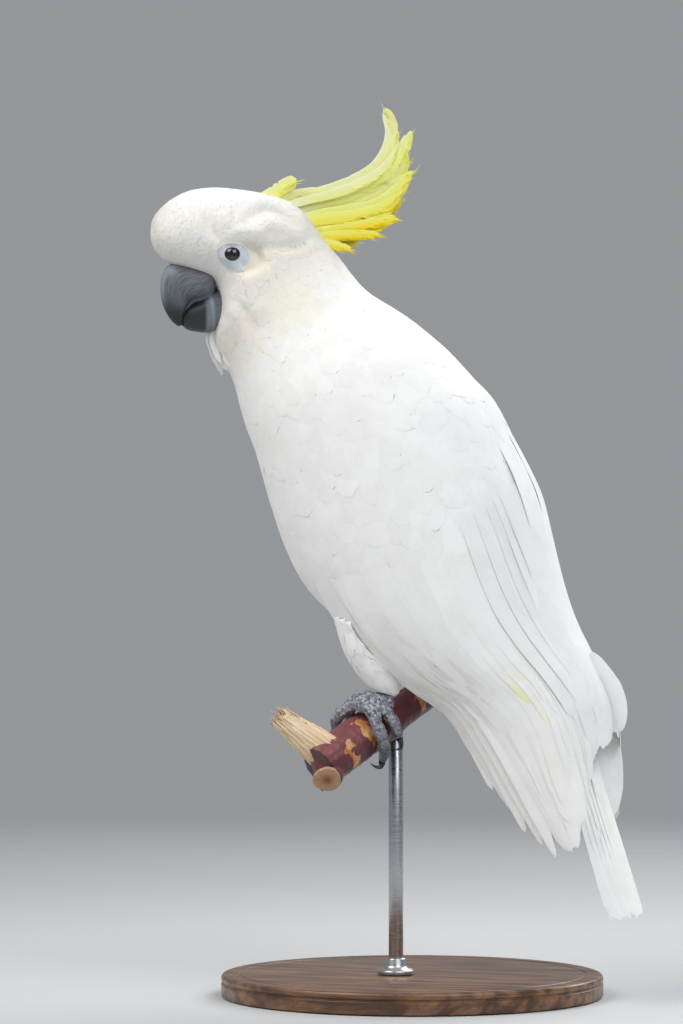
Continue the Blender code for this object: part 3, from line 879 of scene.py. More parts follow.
@dataclass(frozen=True)
class OiledWalnut(Finish):
    """Turned walnut under a thin oil finish: brown, with long dark growth lines."""

    name: str = "oiled_walnut"
    light: str = "#8A6242"
    dark: str = "#4E3220"
    pore: str = "#2F1C11"
    ring_mm: float = 6.0          # distance between growth lines on a flat-sawn face

    def paint(self, add: Add, spot: Any, mark: Inputs) -> Inputs:
        """Grain along X from stretched object coordinates.

        Args:
            add, spot: As in `Finish.paint`; mark is not used.

        Returns:
            The inputs by name.
        """
        long, thin = (add("Mapping", {"Vector": spot, "Scale": (k, 1.0, 1.0)})
                      for k in (0.12, 0.06))
        bend = add("TexNoise", {"Vector": long, "Scale": 26.0, "Detail": 2.0})
        pulled = add("VectorMath", [bend.outputs["Color"], (0.0, 0.03, 0.03)],
                     operation="MULTIPLY")
        moved = add("VectorMath", [long, pulled], operation="ADD")
        lines = add("TexNoise", {"Vector": moved, "Scale": 1000 / self.ring_mm,
                                 "Detail": 3.0})
        pores = add("TexNoise", {"Vector": thin, "Scale": 1500.0, "Detail": 2.0})
        colour = self.layered(add, self.dark, ((lines, self.light, 0.34, 0.66),
                                               (pores, self.pore, 0.55, 0.7, 0.0, 0.6)))
        return {"Base Color": colour, "Roughness": 0.38, "Bump": (0.2, 0.0003, pores),
                "IOR": 1.5, "Coat Weight": 0.25, "Coat Roughness": 0.25}


@dataclass(frozen=True)
class BrushedSteel(Finish):
    """Drawn stainless rod, brushed round its axis: grey metal with fine rings."""

    name: str = "brushed_stainless_steel"
    low: str = "#A6A9AD"
    high: str = "#C9CBCE"

    def paint(self, add: Add, spot: Any, mark: Inputs) -> Inputs:
        """Metal with thin brush lines across the rod.

        Args:
            add, spot: As in `Finish.paint`; mark is not used.

        Returns:
            The inputs by name.
        """
        flat = add("Mapping", {"Vector": spot, "Scale": (0.04, 0.04, 1.0)})
        lines = add("TexNoise", {"Vector": flat, "Scale": 2600.0, "Detail": 2.0})
        rough = add("MapRange", [lines, 0.3, 0.7, 0.24, 0.42], interpolation_type="SMOOTHSTEP")
        return {"Base Color": self.layered(add, self.low, [(lines, self.high)]),
                "Roughness": rough, "Bump": (0.12, 0.0001, lines), "Metallic": 1.0}


@dataclass(frozen=True)
class StudioFloor(Finish):
    """Matt pale studio paper that fades out well away from the object."""

    name: str = "pale_studio_paper"
    tone: str = "#C9CACB"
    fleck: str = "#BDBEC0"
    fade_from: float = 0.35
    fade_to: float = 1.6

    def paint(self, add: Add, spot: Any, mark: Inputs) -> Inputs:
        """Paper, with its far part fading into the background.

        Args:
            add, spot: As in `Finish.paint`; mark is not used.

        Returns:
            The inputs by name.
        """
        far = add("VectorMath", [spot], operation="LENGTH")
        fade = add("MapRange", [far, self.fade_from, self.fade_to, 1.0, 0.0],
                   interpolation_type="SMOOTHSTEP")
        grain = add("TexNoise", {"Vector": spot, "Scale": 400.0})
        colour = self.layered(add, self.tone, [(grain, self.fleck, 0.3, 0.7, 0.0, 0.05)])
        return {"Base Color": colour, "Roughness": 0.9, "Alpha": fade}


# ---------------------------------------------------------------- the bird's outline

@dataclass
class Outline:
    """Cross sections of the plumage from the forehead to the folded wing tips.

    Each row holds front u and z, back u and z, half width (mm) and yaw (degrees).
    """

    rows: Sequence[Row] = (
        (-144.0, 416.6, -144.0, 424.6, 4.0, 32), (-142.5, 411.4, -142.5, 429.6, 11.0, 32),
        (-137.5, 404.8, -134.8, 437.8, 18.0, 32), (-128.2, 399.9, -123.2, 443.9, 23.0, 32),
        (-118.3, 396.0, -110.0, 445.8, 26.5, 32), (-110.6, 392.2, -96.8, 445.0, 28.5, 32),
        (-107.6, 381.2, -82.5, 443.0, 30.0, 32), (-109.6, 369.6, -70.4, 439.5, 31.0, 32),
        (-110.6, 360.8, -60.0, 432.9, 32.5, 30), (-107.6, 353.1, -49.8, 419.7, 35.0, 26),
        (-103.0, 344.9, -39.6, 407.6, 39.0, 20), (-98.6, 335.5, -25.0, 389.6, 44.0, 12),
        (-94.8, 324.5, -5.0, 376.3, 49.5, 5), (-89.0, 310.8, 15.0, 358.7, 54.0, 0),
        (-83.0, 296.5, 31.0, 341.1, 57.0, 0), (-76.6, 274.5, 43.0, 327.4, 58.5, 0),
        (-68.6, 249.7, 56.2, 299.9, 59.0, 0), (-58.2, 227.2, 65.8, 277.3, 58.5, 0),
        (-42.0, 205.2, 72.6, 249.0, 56.5, 0), (-22.8, 185.9, 79.6, 221.2, 53.0, 0),
        (0.5, 168.9, 88.0, 200.4, 47.5, 0), (23.0, 157.9, 98.0, 182.1, 42.0, 0),
        (38.5, 139.2, 106.5, 163.9, 38.0, 0), (53.4, 118.6, 109.4, 141.4, 35.5, 0),
        (70.4, 95.2, 111.1, 115.0, 33.5, 0), (83.6, 74.7, 113.4, 94.3, 32.0, 0))
    square_from: float = 9.0      # station from which the sections are a little squarer
    keel: float = 0.07            # how much wider the head's sections are at their lower side
    tree: Optional[KDTree] = field(default=None, repr=False)
    grid: Optional[Arr] = field(default=None, repr=False)

    def point(self, s: Any, angle: Any, lift: Any = 0.0) -> Arr:
        """Points of the outline, metres.

        Args:
            s: Station along the bird.
            angle: Degrees from the belly (0) over the left side (90) to the back (180).
            lift: How far the belly is drawn in from the outline, mm.

        Returns:
            Points on the last axis.
        """
        s, angle = np.broadcast_arrays(np.asarray(s, float), np.asarray(angle, float))
        row = along(self.rows, s)
        yaw = row[..., 5]
        front = place(row[..., 0], row[..., 1], 0, yaw)
        back = place(row[..., 2], row[..., 3], 0, yaw)
        front = front + unit(back - front) * np.broadcast_to(lift, s.shape)[..., None] * MM
        mid, reach = (front + back) / 2, (back - front) / 2
        side = np.stack([np.sin(np.radians(yaw)), -np.cos(np.radians(yaw)), yaw * 0], -1)
        a = np.radians(angle)
        c, w = np.cos(a), np.sin(a)
        n = 2.0 + 0.3 * ease(self.square_from, 16, s)
        p = (np.abs(c) ** n + np.abs(w) ** n) ** (-1 / n)
        full = 1 + self.keel * c * (1 - ease(9, 13, s))
        return (mid - reach * (c * p)[..., None]
                + side * (w * p * row[..., 4] * full)[..., None] * MM)

    def lie(self, s: Arr, angle: Arr) -> Tuple[Arr, Arr]:
        """Tailward direction and outward normal at places of the outline."""
        flow = unit(self.point(s + 0.1, angle) - self.point(s - 0.1, angle))
        return flow, unit(np.cross(flow, self.point(s, angle + 2.0) - self.point(s, angle - 2.0)))

    def over(self, s: Arr, angle: Arr, lift: Arr) -> Tuple[Arr, Arr]:
        """Points `lift` mm over the outline, and the outward directions there.

        Args:
            s: Stations.
            angle: Degrees round the outline.
            lift: Heights, mm.

        Returns:
            The points and the directions.
        """
        p, n = self.point(s, angle), self.lie(s, angle)[1]
        mid = self.point(s, 0.0) * 0.5 + self.point(s, 180.0) * 0.5
        n = np.where(dots(n, p - mid)[:, None] < 0, -n, n)
        return p + n * lift[:, None] * MM, n

    def nearest(self, points: Arr) -> Tuple[Arr, Arr]:
        """Station and angle of the outline's place nearest to each point.

        Args:
            points: World points, metres.

        Returns:
            The stations and the angles.
        """
        if self.tree is None:
            s, a = np.meshgrid(np.arange(0, 25.01, 0.1), np.arange(-180, 180, 3.0), indexing="ij")
            self.grid = np.stack([s.ravel(), a.ravel()], 1)
            self.tree = tree_of(self.point(self.grid[:, 0], self.grid[:, 1]))
        hit = np.array([self.tree.find(p)[1] for p in points])
        return self.grid[hit, 0], self.grid[hit, 1]


@dataclass
class TailLine:
    """Where the tail runs, and how wide and bowed its fan is, in mm."""

    start: Tuple[float, float] = (87.0, 158.6)
    end: Tuple[float, float] = (122.4, 47.2)
    drop: float = 9.0             # how far the outer feathers lie below the middle ones
    widths: Sequence[float] = (21.0, 20.0, 21.0, 25.0, 27.0)

    def axes(self) -> Tuple[Arr, Arr, Arr, float]:
        """Root point, run and downward directions, and length in metres."""
        root = place(*self.start, 0, 0)
        run = place(*self.end, 0, 0) - root
        down = np.cross(LEFT, unit(run))
        return root, unit(run), down if down[2] < 0 else -down, float(np.linalg.norm(run))

    def point(self, v: Any, w: Any) -> Arr:
        """Place on the fan's upper face; v is root to tip, w is -1 (right) to 1 (left).

        Args:
            v: Share of the length.
            w: Share of half the width.

        Returns:
            World points, metres.
        """
        root, t, down, length = self.axes()
        v, w = np.broadcast_arrays(np.asarray(v, float), np.asarray(w, float))
        wide = np.interp(v, [0, 0.3, 0.55, 0.8, 1], self.widths)
        return (root + t * (v * length)[..., None] + LEFT * (w * wide)[..., None] * MM
                + down * (self.drop * w * w * ease(-0.2, 0.6, v))[..., None] * MM)


@dataclass
class Skin:
    """The one skin under the feathers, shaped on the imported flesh's own outline."""

    outline: Outline
    tail: TailLine
    flesh: Sequence[str] = ("head", "neck", "trunk", "wing_left", "wing_right", "thigh_left",
                            "thigh_right", "tail")
    voxel: float = 1.5 * MM
    trunk_end: float = 21.75
    belly_lift: float = 19.0
    eye_seen: Tuple[float, float] = (-97.4, 407.2)
    folds: Sequence[Tuple[Path, float, float]] = (  # path from the eye, half width, height
        (((5, 11), (12, 16), (20, 15.5), (28, 10)), 5.0, 1.7),
        (((7, 4), (18, 4.3), (30, 5.5), (37, 9)), 2.5, -1.5),
        (((4, 20), (12, 25), (21, 23.5), (30, 16)), 2.2, -1.3),
        (((2, 27), (12, 32), (24, 29)), 4.0, 0.8),
        (((-20, 21), (-19.3, 14.4), (-14.2, 7.6)), 2.2, -1.0),
        (((-13, 23), (-7.5, 14.4)), 3.6, 1.1),
        (((-9, 10), (0, 13.5), (8, 11)), 2.2, 0.8),
        (((-4, 27), (-6, 20), (-2, 15)), 1.8, -0.8),
        (((-5.3, -26), (0.3, -33), (4.8, -41.7), (13.8, -44.5), (20.5, -39.5)), 2.3, -1.3),
        (((6, -28), (11, -35)), 6.0, 1.2),
        (((-14, -12), (-9, -22), (-6, -34)), 3.2, 0.8),
        (((16, -24), (22, -32), (22, -40)), 3.0, 0.7),
        (((-8.6, -45), (-1.9, -57.4), (4.8, -63.6), (20.5, -60.8), (43, -53)), 3.0, -1.4),
        (((2, -53), (14, -54), (28, -50)), 4.0, 0.8))
    rump: Sequence[Row] = (  # place along the tail, depth below it, half width, half height
        (-0.25, 12.0, 19, 13), (-0.1, 12.0, 20, 12), (0.1, 10.0, 18.5, 9.5),
        (0.3, 6.5, 15.5, 6), (0.48, 4.0, 11, 2.6))

    def build(self) -> Obj:
        """Shape the skin and store the lie, size and colour of the coat on it."""
        turn = np.linspace(0, 360, 56, endpoint=False)
        rings = [self.outline.point(k, turn, self.belly_lift * ease(17.0, 20.5, k))
                 for k in np.arange(0.0, self.trunk_end + 0.01, 0.25)]
        root, t, down, length = self.tail.axes()
        c, w = np.cos(circle(32))[:, None] * MM, np.sin(circle(32))[:, None] * MM
        rump = [root + t * length * v + down * k * MM + LEFT * c * wide + down * w * high
                for v, k, wide, high in self.rump]
        ob = join("plumage_skin", [
            lofted("trunk_form", rings),
            copy_of(["thigh_left", "thigh_right"], "thighs", 0.3 * MM),
            lofted("rump_form", rump)])
        remesh(ob, self.voxel)
        smooth(ob, 4)
        co = verts_of(ob)
        s, _ = self.outline.nearest(co)
        u, z, left = head_coords(co)
        head = 1 - ease(8.0, 10.5, s)
        depth = 0.5 + 1.2 * ease(8.5, 13, s) - 0.4 * ease(17.5, 21, s)
        depth = depth * (1 - 0.8 * bell(self.from_eye(u, z), 0, 11.0) * head) * MM
        normal = unit(smooth(ob, 4, normals_of(ob)))
        rise = self.face(u, z, left) * head * MM - depth
        set_verts(ob, co + normal * rise[:, None])
        smooth(ob, 1, weight=0.35)
        self.mark(ob)
        self.unwrap(ob)
        return ob

    def from_eye(self, u: Arr, z: Arr) -> Arr:
        """Side-view distance to the middle of the bare ring, mm, evened for its oval."""
        return np.hypot((u - self.eye_seen[0] - 0.6) / 1.17, z - self.eye_seen[1] + 1.9)

    def face(self, u: Arr, z: Arr, left: Arr) -> Arr:
        """Brow, folds, cheek and the hollow round the eye, mm outward.

        Args:
            u: Side-view position, mm.
            z: Height, mm.
            left: Distance left of the middle plane, mm.

        Returns:
            Outward offset for each point.
        """
        du, dz = u - self.eye_seen[0], z - self.eye_seen[1]
        out = np.zeros(len(u))
        for path, width, height in self.folds:
            gap, ends = np.full(len(u), 1e9), np.ones(len(u))
            for k, (a, b) in enumerate(along(path, np.linspace(0, len(path) - 1, 26))):
                d = np.hypot(du - a, dz - b)
                ends = np.where(d < gap, math.sin(math.pi * (k + 2) / 29) ** 0.6, ends)
                gap = np.minimum(gap, d)
            out += height * bell(gap, 0, width) * ends
        away = self.from_eye(u, z)
        hollow = -bell(away, 9.5, 2.5) - 6.0 * (1 - ease(6.2, 9.6, away))
        return (out * 1.7 + hollow) * ease(6.0, 15.0, np.abs(left))

    def thighs(self, co: Arr, flow: Arr) -> Arr:
        """Mark the thighs and turn the lie of their feathers down the leg.

        Args:
            co: Vertex places.
            flow: Direction of the feathers, changed on the thighs.

        Returns:
            1 on the thighs and 0 elsewhere.
        """
        thigh = np.zeros(len(co))
        for side, sign in (("left", 1), ("right", -1)):
            lo, hi = (np.array(c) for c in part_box(f"thigh_{side}"))
            tree = BVHTree.FromObject(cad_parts[f"thigh_{side}"],
                                      bpy.context.evaluated_depsgraph_get())
            for i in np.nonzero(np.all((co > lo - 0.003) & (co < hi + 0.003), axis=1))[0]:
                if tree.find_nearest(Vector(co[i]))[3] < 0.0036:
                    thigh[i] = 1.0
            mine = (thigh > 0.5) & (np.sign(-co[:, 1]) == sign)
            flow[mine] = unit((hi - lo) * [0.2, 0, -1])
        return thigh

    def mark(self, ob: Obj) -> None:
        """Store the coat's lie, size, colour and zones for each vertex.

        Args:
            ob: The skin.
        """
        co, normal = verts_of(ob), normals_of(ob)
        s, angle = self.outline.nearest(co)
        u, z, left = head_coords(co)
        flow, _ = self.outline.lie(s, angle)
        root, run, _, length = self.tail.axes()
        tail = ease(-0.02, 0.08, (co - root) @ run / length) * (np.abs(co[:, 1]) < 0.024)
        thigh = smooth(ob, 3, self.thighs(co, flow))
        flow[tail > 0.5] = run
        swirl = noise_at(co, 0.022, 2, 3.0)
        flow = flow + np.cross(normal, flow) * (swirl * (0.16 + 0.25 * thigh))[:, None]
        flow = smooth(ob, 6, flow)
        flow -= normal * dots(flow, normal)[:, None]
        store(ob, flow=unit(flow), outward=unit(smooth(ob, 8, normal)))
        head = 1 - ease(8.5, 11.0, s)
        eye = np.where(head > 0.05, self.from_eye(u, z), 99.0)
        wing = ease(13.4, 15.4, s) * ease(34, 46, np.abs(angle)) * (1 - thigh) * (1 - tail)
        face = head * (1 - ease(5.8, 7.6, s)) * ease(8.2, 8.8, eye)
        neck = (1 - ease(11.3, 12.6, s)) * ease(5.6, 7.2, s) * ease(8.4, 9.2, eye)
        chest = ease(11.0, 12.4, s) * (1 - wing) * (1 - thigh) * (1 - tail)
        chest *= 1 - ease(21.0, 22.0, s)
        zones = {"face": face, "neck": neck, "body": chest, "leg": thigh, "rump": tail,
                 "covert": wing * (1 - wing * ease(19.7, 20.1, s))}
        store(ob, **{name: np.clip(value, 0, 1) for name, value in zones.items()})
        size = 0.72 + 0.4 * ease(0, 5, s) - 0.25 * bell(eye, 8, 5)
        size = np.where(s > 6.4, 0.5 + 0.5 * ease(6.4, 11.5, s), size)
        size *= 1 + 0.16 * noise_at(co, 0.03, 2, 9.0) * (1 - head)
        # The ear coverts have a lemon wash; the head and throat are creamy, and the cream in the
        # face's creases and the hollow round the eye is painted shade.
        ear = 0.13 * bell(np.hypot((u + 76) / 1.3, z - 385), 0, 15) * ease(8, 18, np.abs(left))
        crease_shade = np.clip(-self.face(u, z, left) / 2.0, 0, 1) * head
        warm = (0.35 * head + 0.25 * bell(s, 8.5, 2.5) + 0.6 * crease_shade
                - 0.3 * ease(5, 12, z - 425))
        store(ob, grown=size, wash=np.clip(ear, 0, 1), warm=np.clip(warm, 0, 1))

    def unwrap(self, ob: Obj) -> None:
        """Unwrap the skin by its own shape into the map the coat's patches follow.

        Args:
            ob: The skin.
        """
        ob.data.uv_layers.new(name="OFBake")
        bpy.ops.object.select_all(action="DESELECT")
        ob.select_set(True)
        bpy.context.view_layer.objects.active = ob
        bpy.ops.object.mode_set(mode="EDIT")
        bpy.ops.mesh.select_all(action="SELECT")
        bpy.ops.uv.smart_project(angle_limit=math.radians(66), island_margin=0.002)
        bpy.ops.object.mode_set(mode="OBJECT")


# ---------------------------------------------------------------- the coat

@dataclass
class Zone:
    """One part of the coat: how long, wide, close and raised its feathers are, in mm."""

    name: str
    length: float
    breadth: float
    spacing: float
    lift: float
    columns: int
    rows: int
    stray: float                  # degrees by which a feather turns from the lie
    point: float                  # 0 for a blunt tip, 1 for a pointed one


ZONES = (Zone("face", 4.5, 2.75, 1.29, 0.18, 5, 5, 10.0, 0.45),
         Zone("neck", 13.0, 7.6, 2.5, 0.20, 5, 6, 9.0, 0.4),
         Zone("body", 23.0, 14.0, 4.6, 0.36, 7, 8, 8.0, 0.25),
         Zone("covert", 25.0, 15.5, 5.0, 0.42, 7, 8, 6.0, 0.1),
         Zone("leg", 15.0, 7.0, 3.0, 0.6, 5, 6, 8.0, 0.5),
         Zone("rump", 18.0, 10.0, 4.2, 0.7, 5, 7, 6.0, 0.3))


@dataclass
class Coat:
    """Lays feathers over the skin, zone by zone, with one Geometry Nodes tree."""

    skin: Obj
    material: Mat
    thick: float = 0.005          # thickest part of a feather as a share of its breadth
    camber: float = 0.012
    patch: float = 0.003          # width of a feather's place on the skin's map
    shapes: int = 6               # different feathers in a zone
    soft: float = 0.84            # how evenly their upper sides take the light
    sizes: Sequence[str] = ("Length", "Breadth", "Spacing", "Lift", "Stray")

    def vane(self, zone: Zone, name: str, seed: int) -> Obj:
        """One feather 1 long and 1 broad, root at the origin, tip along +Y.

        Args:
            zone: Says how fine its mesh and how pointed its tip are.
            name: Object's name.
            seed: Picks the tip's shape.

        Returns:
            The closed feather mesh, with its Vane map.
        """
        rng = np.random.default_rng(seed)
        v = (1 - (1 - np.linspace(0, 1, zone.rows)) ** 1.7)[:, None]
        x = np.linspace(-1, 1, zone.columns)[None, :]
        start = 0.68 - 0.12 * zone.point
        fall = np.clip((v - start) / (1 - start), 0, 1)
        wide = (np.interp(v, [0, 0.12, 0.42, 0.68], [0.16, 0.62, 0.98, 1.0])
                * (1 - fall ** (2.3 - 0.8 * zone.point)) ** 0.62 + 0.06)
        ragged = rng.uniform(-0.03, 0.02, zone.columns)
        droop = (0.04 + 0.05 * zone.point) * x ** 2
        pull_in = v * (1 - droop * ease(0.4, 1.0, v)) + ragged * ease(0.6, 1.0, v)
        top = np.stack([x * wide * 0.5, pull_in, self.camber * (1 - x ** 2) * wide],
                       -1).reshape(-1, 3)
        body = (1 - x ** 2) * np.sin(np.pi * np.clip(v, 0.04, 0.97)) ** 0.5
        faces, inner = shell(zone.rows, zone.columns)
        low = top - body.ravel()[:, None] * self.thick * UP
        points = np.concatenate([top, low[inner]])
        uv = np.stack(np.broadcast_arrays((x + 1) / 2, v), -1).reshape(-1, 2)
        ob = mesh_object(name, points, faces)
        map_uv(ob, Vane=np.concatenate([uv, uv[inner]]))
        store(ob, rise=points[:, 2], run=points[:, 1])
        return ob

    def grower(self) -> bpy.types.NodeTree:
        """The tree that scatters, turns, drapes and maps the feathers.

        Returns:
            A geometry tree whose named inputs are a zone's sizes.
        """
        tree = bpy.data.node_groups.new("feather_grower", "GeometryNodeTree")
        add, face = partial(node, tree), tree.interface
        for way, name, kind in (
                ("INPUT", "Geometry", "Geometry"), ("INPUT", "Feathers", "Collection"),
                ("INPUT", "Finish", "Material"), ("INPUT", "Cover", "String"),
                *(("INPUT", size, "Float") for size in self.sizes), ("INPUT", "Seed", "Int"),
                ("OUTPUT", "Geometry", "Geometry")):
            face.new_socket(name, in_out=way, socket_type=f"NodeSocket{kind}")
        g = add("NodeGroupInput").outputs
        value: Dict[Any, Any] = {s.name: s for s in g if s.name}
        for name, kind in (("outward", "FLOAT_VECTOR"), ("flow", "FLOAT_VECTOR"),
                           ("OFBake", "FLOAT_VECTOR"), ("patch", "FLOAT_VECTOR"),
                           ("Vane", "FLOAT_VECTOR"), ("grown", "FLOAT"), ("rise", "FLOAT"),
                           ("run", "FLOAT"), ("wide", "FLOAT"), ("raise", "FLOAT"),
                           (g["Cover"], "FLOAT")):
            made = add("GeometryNodeInputNamedAttribute", {"Name": name}, data_type=kind)
            value[name if isinstance(name, str) else "cover"] = made
        for k, (name, low, high, kind) in enumerate((
                ("turned", -1.0, 1.0, "FLOAT"), ("longer", 0.82, 1.18, "FLOAT"),
                ("wider", 0.86, 1.14, "FLOAT"), ("pick", 0, self.shapes - 1, "INT"),
                ("tint", 0.0, 1.0, "FLOAT"), ("lifted", 0.6, 1.4, "FLOAT"))):
            seed = add("Math", [g["Seed"], k + 1], operation="ADD")
            value[name] = add("FunctionNodeRandomValue", {"Min": low, "Max": high, "Seed": seed},
                              data_type=kind)
        for name, how, a, b in (
                ("covered", "GREATER_THAN", "cover", 0.5),
                ("area", "MULTIPLY", "Spacing", "Spacing"), ("density", "DIVIDE", 2.2, "area"),
                ("angle", "MULTIPLY", "turned", "Stray"),
                ("long", "MULTIPLY", "Length", "grown"), ("long", "MULTIPLY", "long", "longer"),
                ("broad", "MULTIPLY", "Breadth", "grown"), ("broad", "MULTIPLY", "broad", "wider"),
                ("forth", "MAXIMUM", "run", 0.0), ("bend", "MULTIPLY", "run", 0.45),
                ("bend", "SUBTRACT", 1.25, "bend"), ("forth", "MULTIPLY", "forth", "bend"),
                ("up", "MULTIPLY", "Lift", "raise"), ("up", "MULTIPLY", "up", "forth"),
                ("own", "MULTIPLY", "rise", "wide"), ("up", "ADD", "own", "up"),
                ("sunk", "MULTIPLY", "Lift", 0.12), ("up", "SUBTRACT", "up", "sunk")):
            value[name] = add("Math", [value.get(a, a), value.get(b, b)], operation=how)
        scatter = add("GeometryNodeDistributePointsOnFaces", {
            "Mesh": g["Geometry"], "Distance Min": g["Spacing"], "Density Max": value["density"],
            "Density Factor": value["covered"], "Seed": g["Seed"]}, distribute_method="POISSON")
        lie = add("FunctionNodeAxesToRotation", {
            "Primary Axis": value["outward"], "Secondary Axis": value["flow"]},
            primary_axis="Z", secondary_axis="Y")
        twist = add("FunctionNodeAxisAngleToRotation", {"Axis": (0, 0, 1),
                                                        "Angle": value["angle"]})
        lie = add("FunctionNodeRotateRotation", [lie, twist], rotation_space="LOCAL")
        spot, points = add("GeometryNodeInputPosition"), scatter
        for name, kind, held in (("patch", "FLOAT_VECTOR", "OFBake"), ("tint", "FLOAT", "tint"),
                                 ("raise", "FLOAT", "lifted"), ("wide", "FLOAT", "broad")):
            points = add("GeometryNodeStoreNamedAttribute", {
                "Geometry": points, "Name": name, "Value": value[held]}, data_type=kind,
                domain="POINT")
        shapes = add("GeometryNodeCollectionInfo", {
            "Collection": g["Feathers"], "Separate Children": True, "Reset Children": True})
        placed = add("GeometryNodeInstanceOnPoints", {
            "Points": points, "Instance": shapes, "Pick Instance": True,
            "Instance Index": value["pick"], "Rotation": lie,
            "Scale": add("CombineXYZ", [value["broad"], value["long"], value["broad"]])})
        real = add("GeometryNodeRealizeInstances", {"Geometry": placed})
        under, out = (add("GeometryNodeSampleNearestSurface", {
            "Mesh": g["Geometry"], "Value": field_there, "Sample Position": spot},
            data_type="FLOAT_VECTOR") for field_there in (spot, value["outward"]))
        raised = add("VectorMath", {"Vector": out, "Scale": value["up"]}, operation="SCALE")
        draped = add("GeometryNodeSetPosition", {
            "Geometry": real, "Position": add("VectorMath", [under, raised], operation="ADD")})
        local = add("VectorMath", {"Vector": value["Vane"], "Scale": self.patch},
                    operation="SCALE")
        mapped = add("GeometryNodeStoreNamedAttribute", {
            "Geometry": draped, "Name": "OFBake",
            "Value": add("VectorMath", [value["patch"], local], operation="ADD")},
            data_type="FLOAT2", domain="CORNER")
        add("NodeGroupOutput", {"Geometry": add("GeometryNodeSetMaterial", {
            "Geometry": mapped, "Material": g["Finish"]})})
        return tree

    def build(self) -> None:
        """Cover every zone with feathers, one plain mesh for each."""
        tree = self.grower()
        ids = {s.name: s.identifier for s in tree.interface.items_tree
               if s.item_type == "SOCKET" and s.in_out == "INPUT"}
        spots = tree_of(verts_of(self.skin))
        out = unit(smooth(self.skin, 3, normals_of(self.skin)))
        for seed, zone in enumerate(ZONES, SEED):
            shapes = bpy.data.collections.new(f"{zone.name}_shapes")
            made = [self.vane(zone, f"{zone.name}_{k}", seed * 10 + k)
                    for k in range(self.shapes)]
            for ob in made:
                shapes.objects.link(ob)
            ob = bpy.data.objects.new(f"{zone.name}_feathers", self.skin.data.copy())
            bpy.context.scene.collection.objects.link(ob)
            given = {"Feathers": shapes, "Finish": self.material, "Cover": zone.name,
                     "Stray": math.radians(zone.stray), "Seed": seed,
                     **{k: getattr(zone, k.lower()) * MM for k in self.sizes[:4]}}
            apply_modifier(ob, "NODES", {ids[k]: v for k, v in given.items()}, node_group=tree)
            me = ob.data
            keep = {"Vane", "OFBake", "tint", "wash", "warm", "position", "sharp_face"}
            for name in [a.name for a in me.attributes if not a.is_required]:
                if name not in keep and name[0] != ".":
                    me.attributes.remove(me.attributes[name])
            me.shade_smooth()
            soften(ob, out[[spots.find(p)[1] for p in verts_of(ob)]], self.soft)
            for shape in made:
                bpy.data.objects.remove(shape)
            bpy.data.collections.remove(shapes)
            dress(ob, self.material)


# ---------------------------------------------------------------- long feathers

class Tip(Enum):
    """How a long feather ends: shares of its full width over its last fifth."""

    ROUND = (0.98, 0.93, 0.80, 0.56, 0.16)
    SQUARE = (1.0, 0.99, 0.95, 0.84, 0.5)
    POINTED = (0.88, 0.70, 0.48, 0.27, 0.05)


@dataclass
class Quill:
    """One long feather: where its shaft runs and how its vane is cut."""

    path: Arr                     # shaft from root to tip, metres
    face: Arr                     # direction its upper side looks, at each shaft point
    width: float                  # widest part of the vane, mm
    tip: Tip = Tip.ROUND
    tilt: float = 0.0             # how far the left edge stands over the right one, mm
    camber: float = 0.8           # mm
    lean: float = 0.12            # how far the shaft lies off the middle, share of the width
    thick: float = 0.5            # mm
    notches: int = 2
    fray: float = 0.35            # depth of the tip's ragged barbs, mm
    wash: Tuple[float, float] = (0.0, 0.0)    # yellow at the right and the left edge
    wash_from: float = 0.0
    root_width: float = 0.45


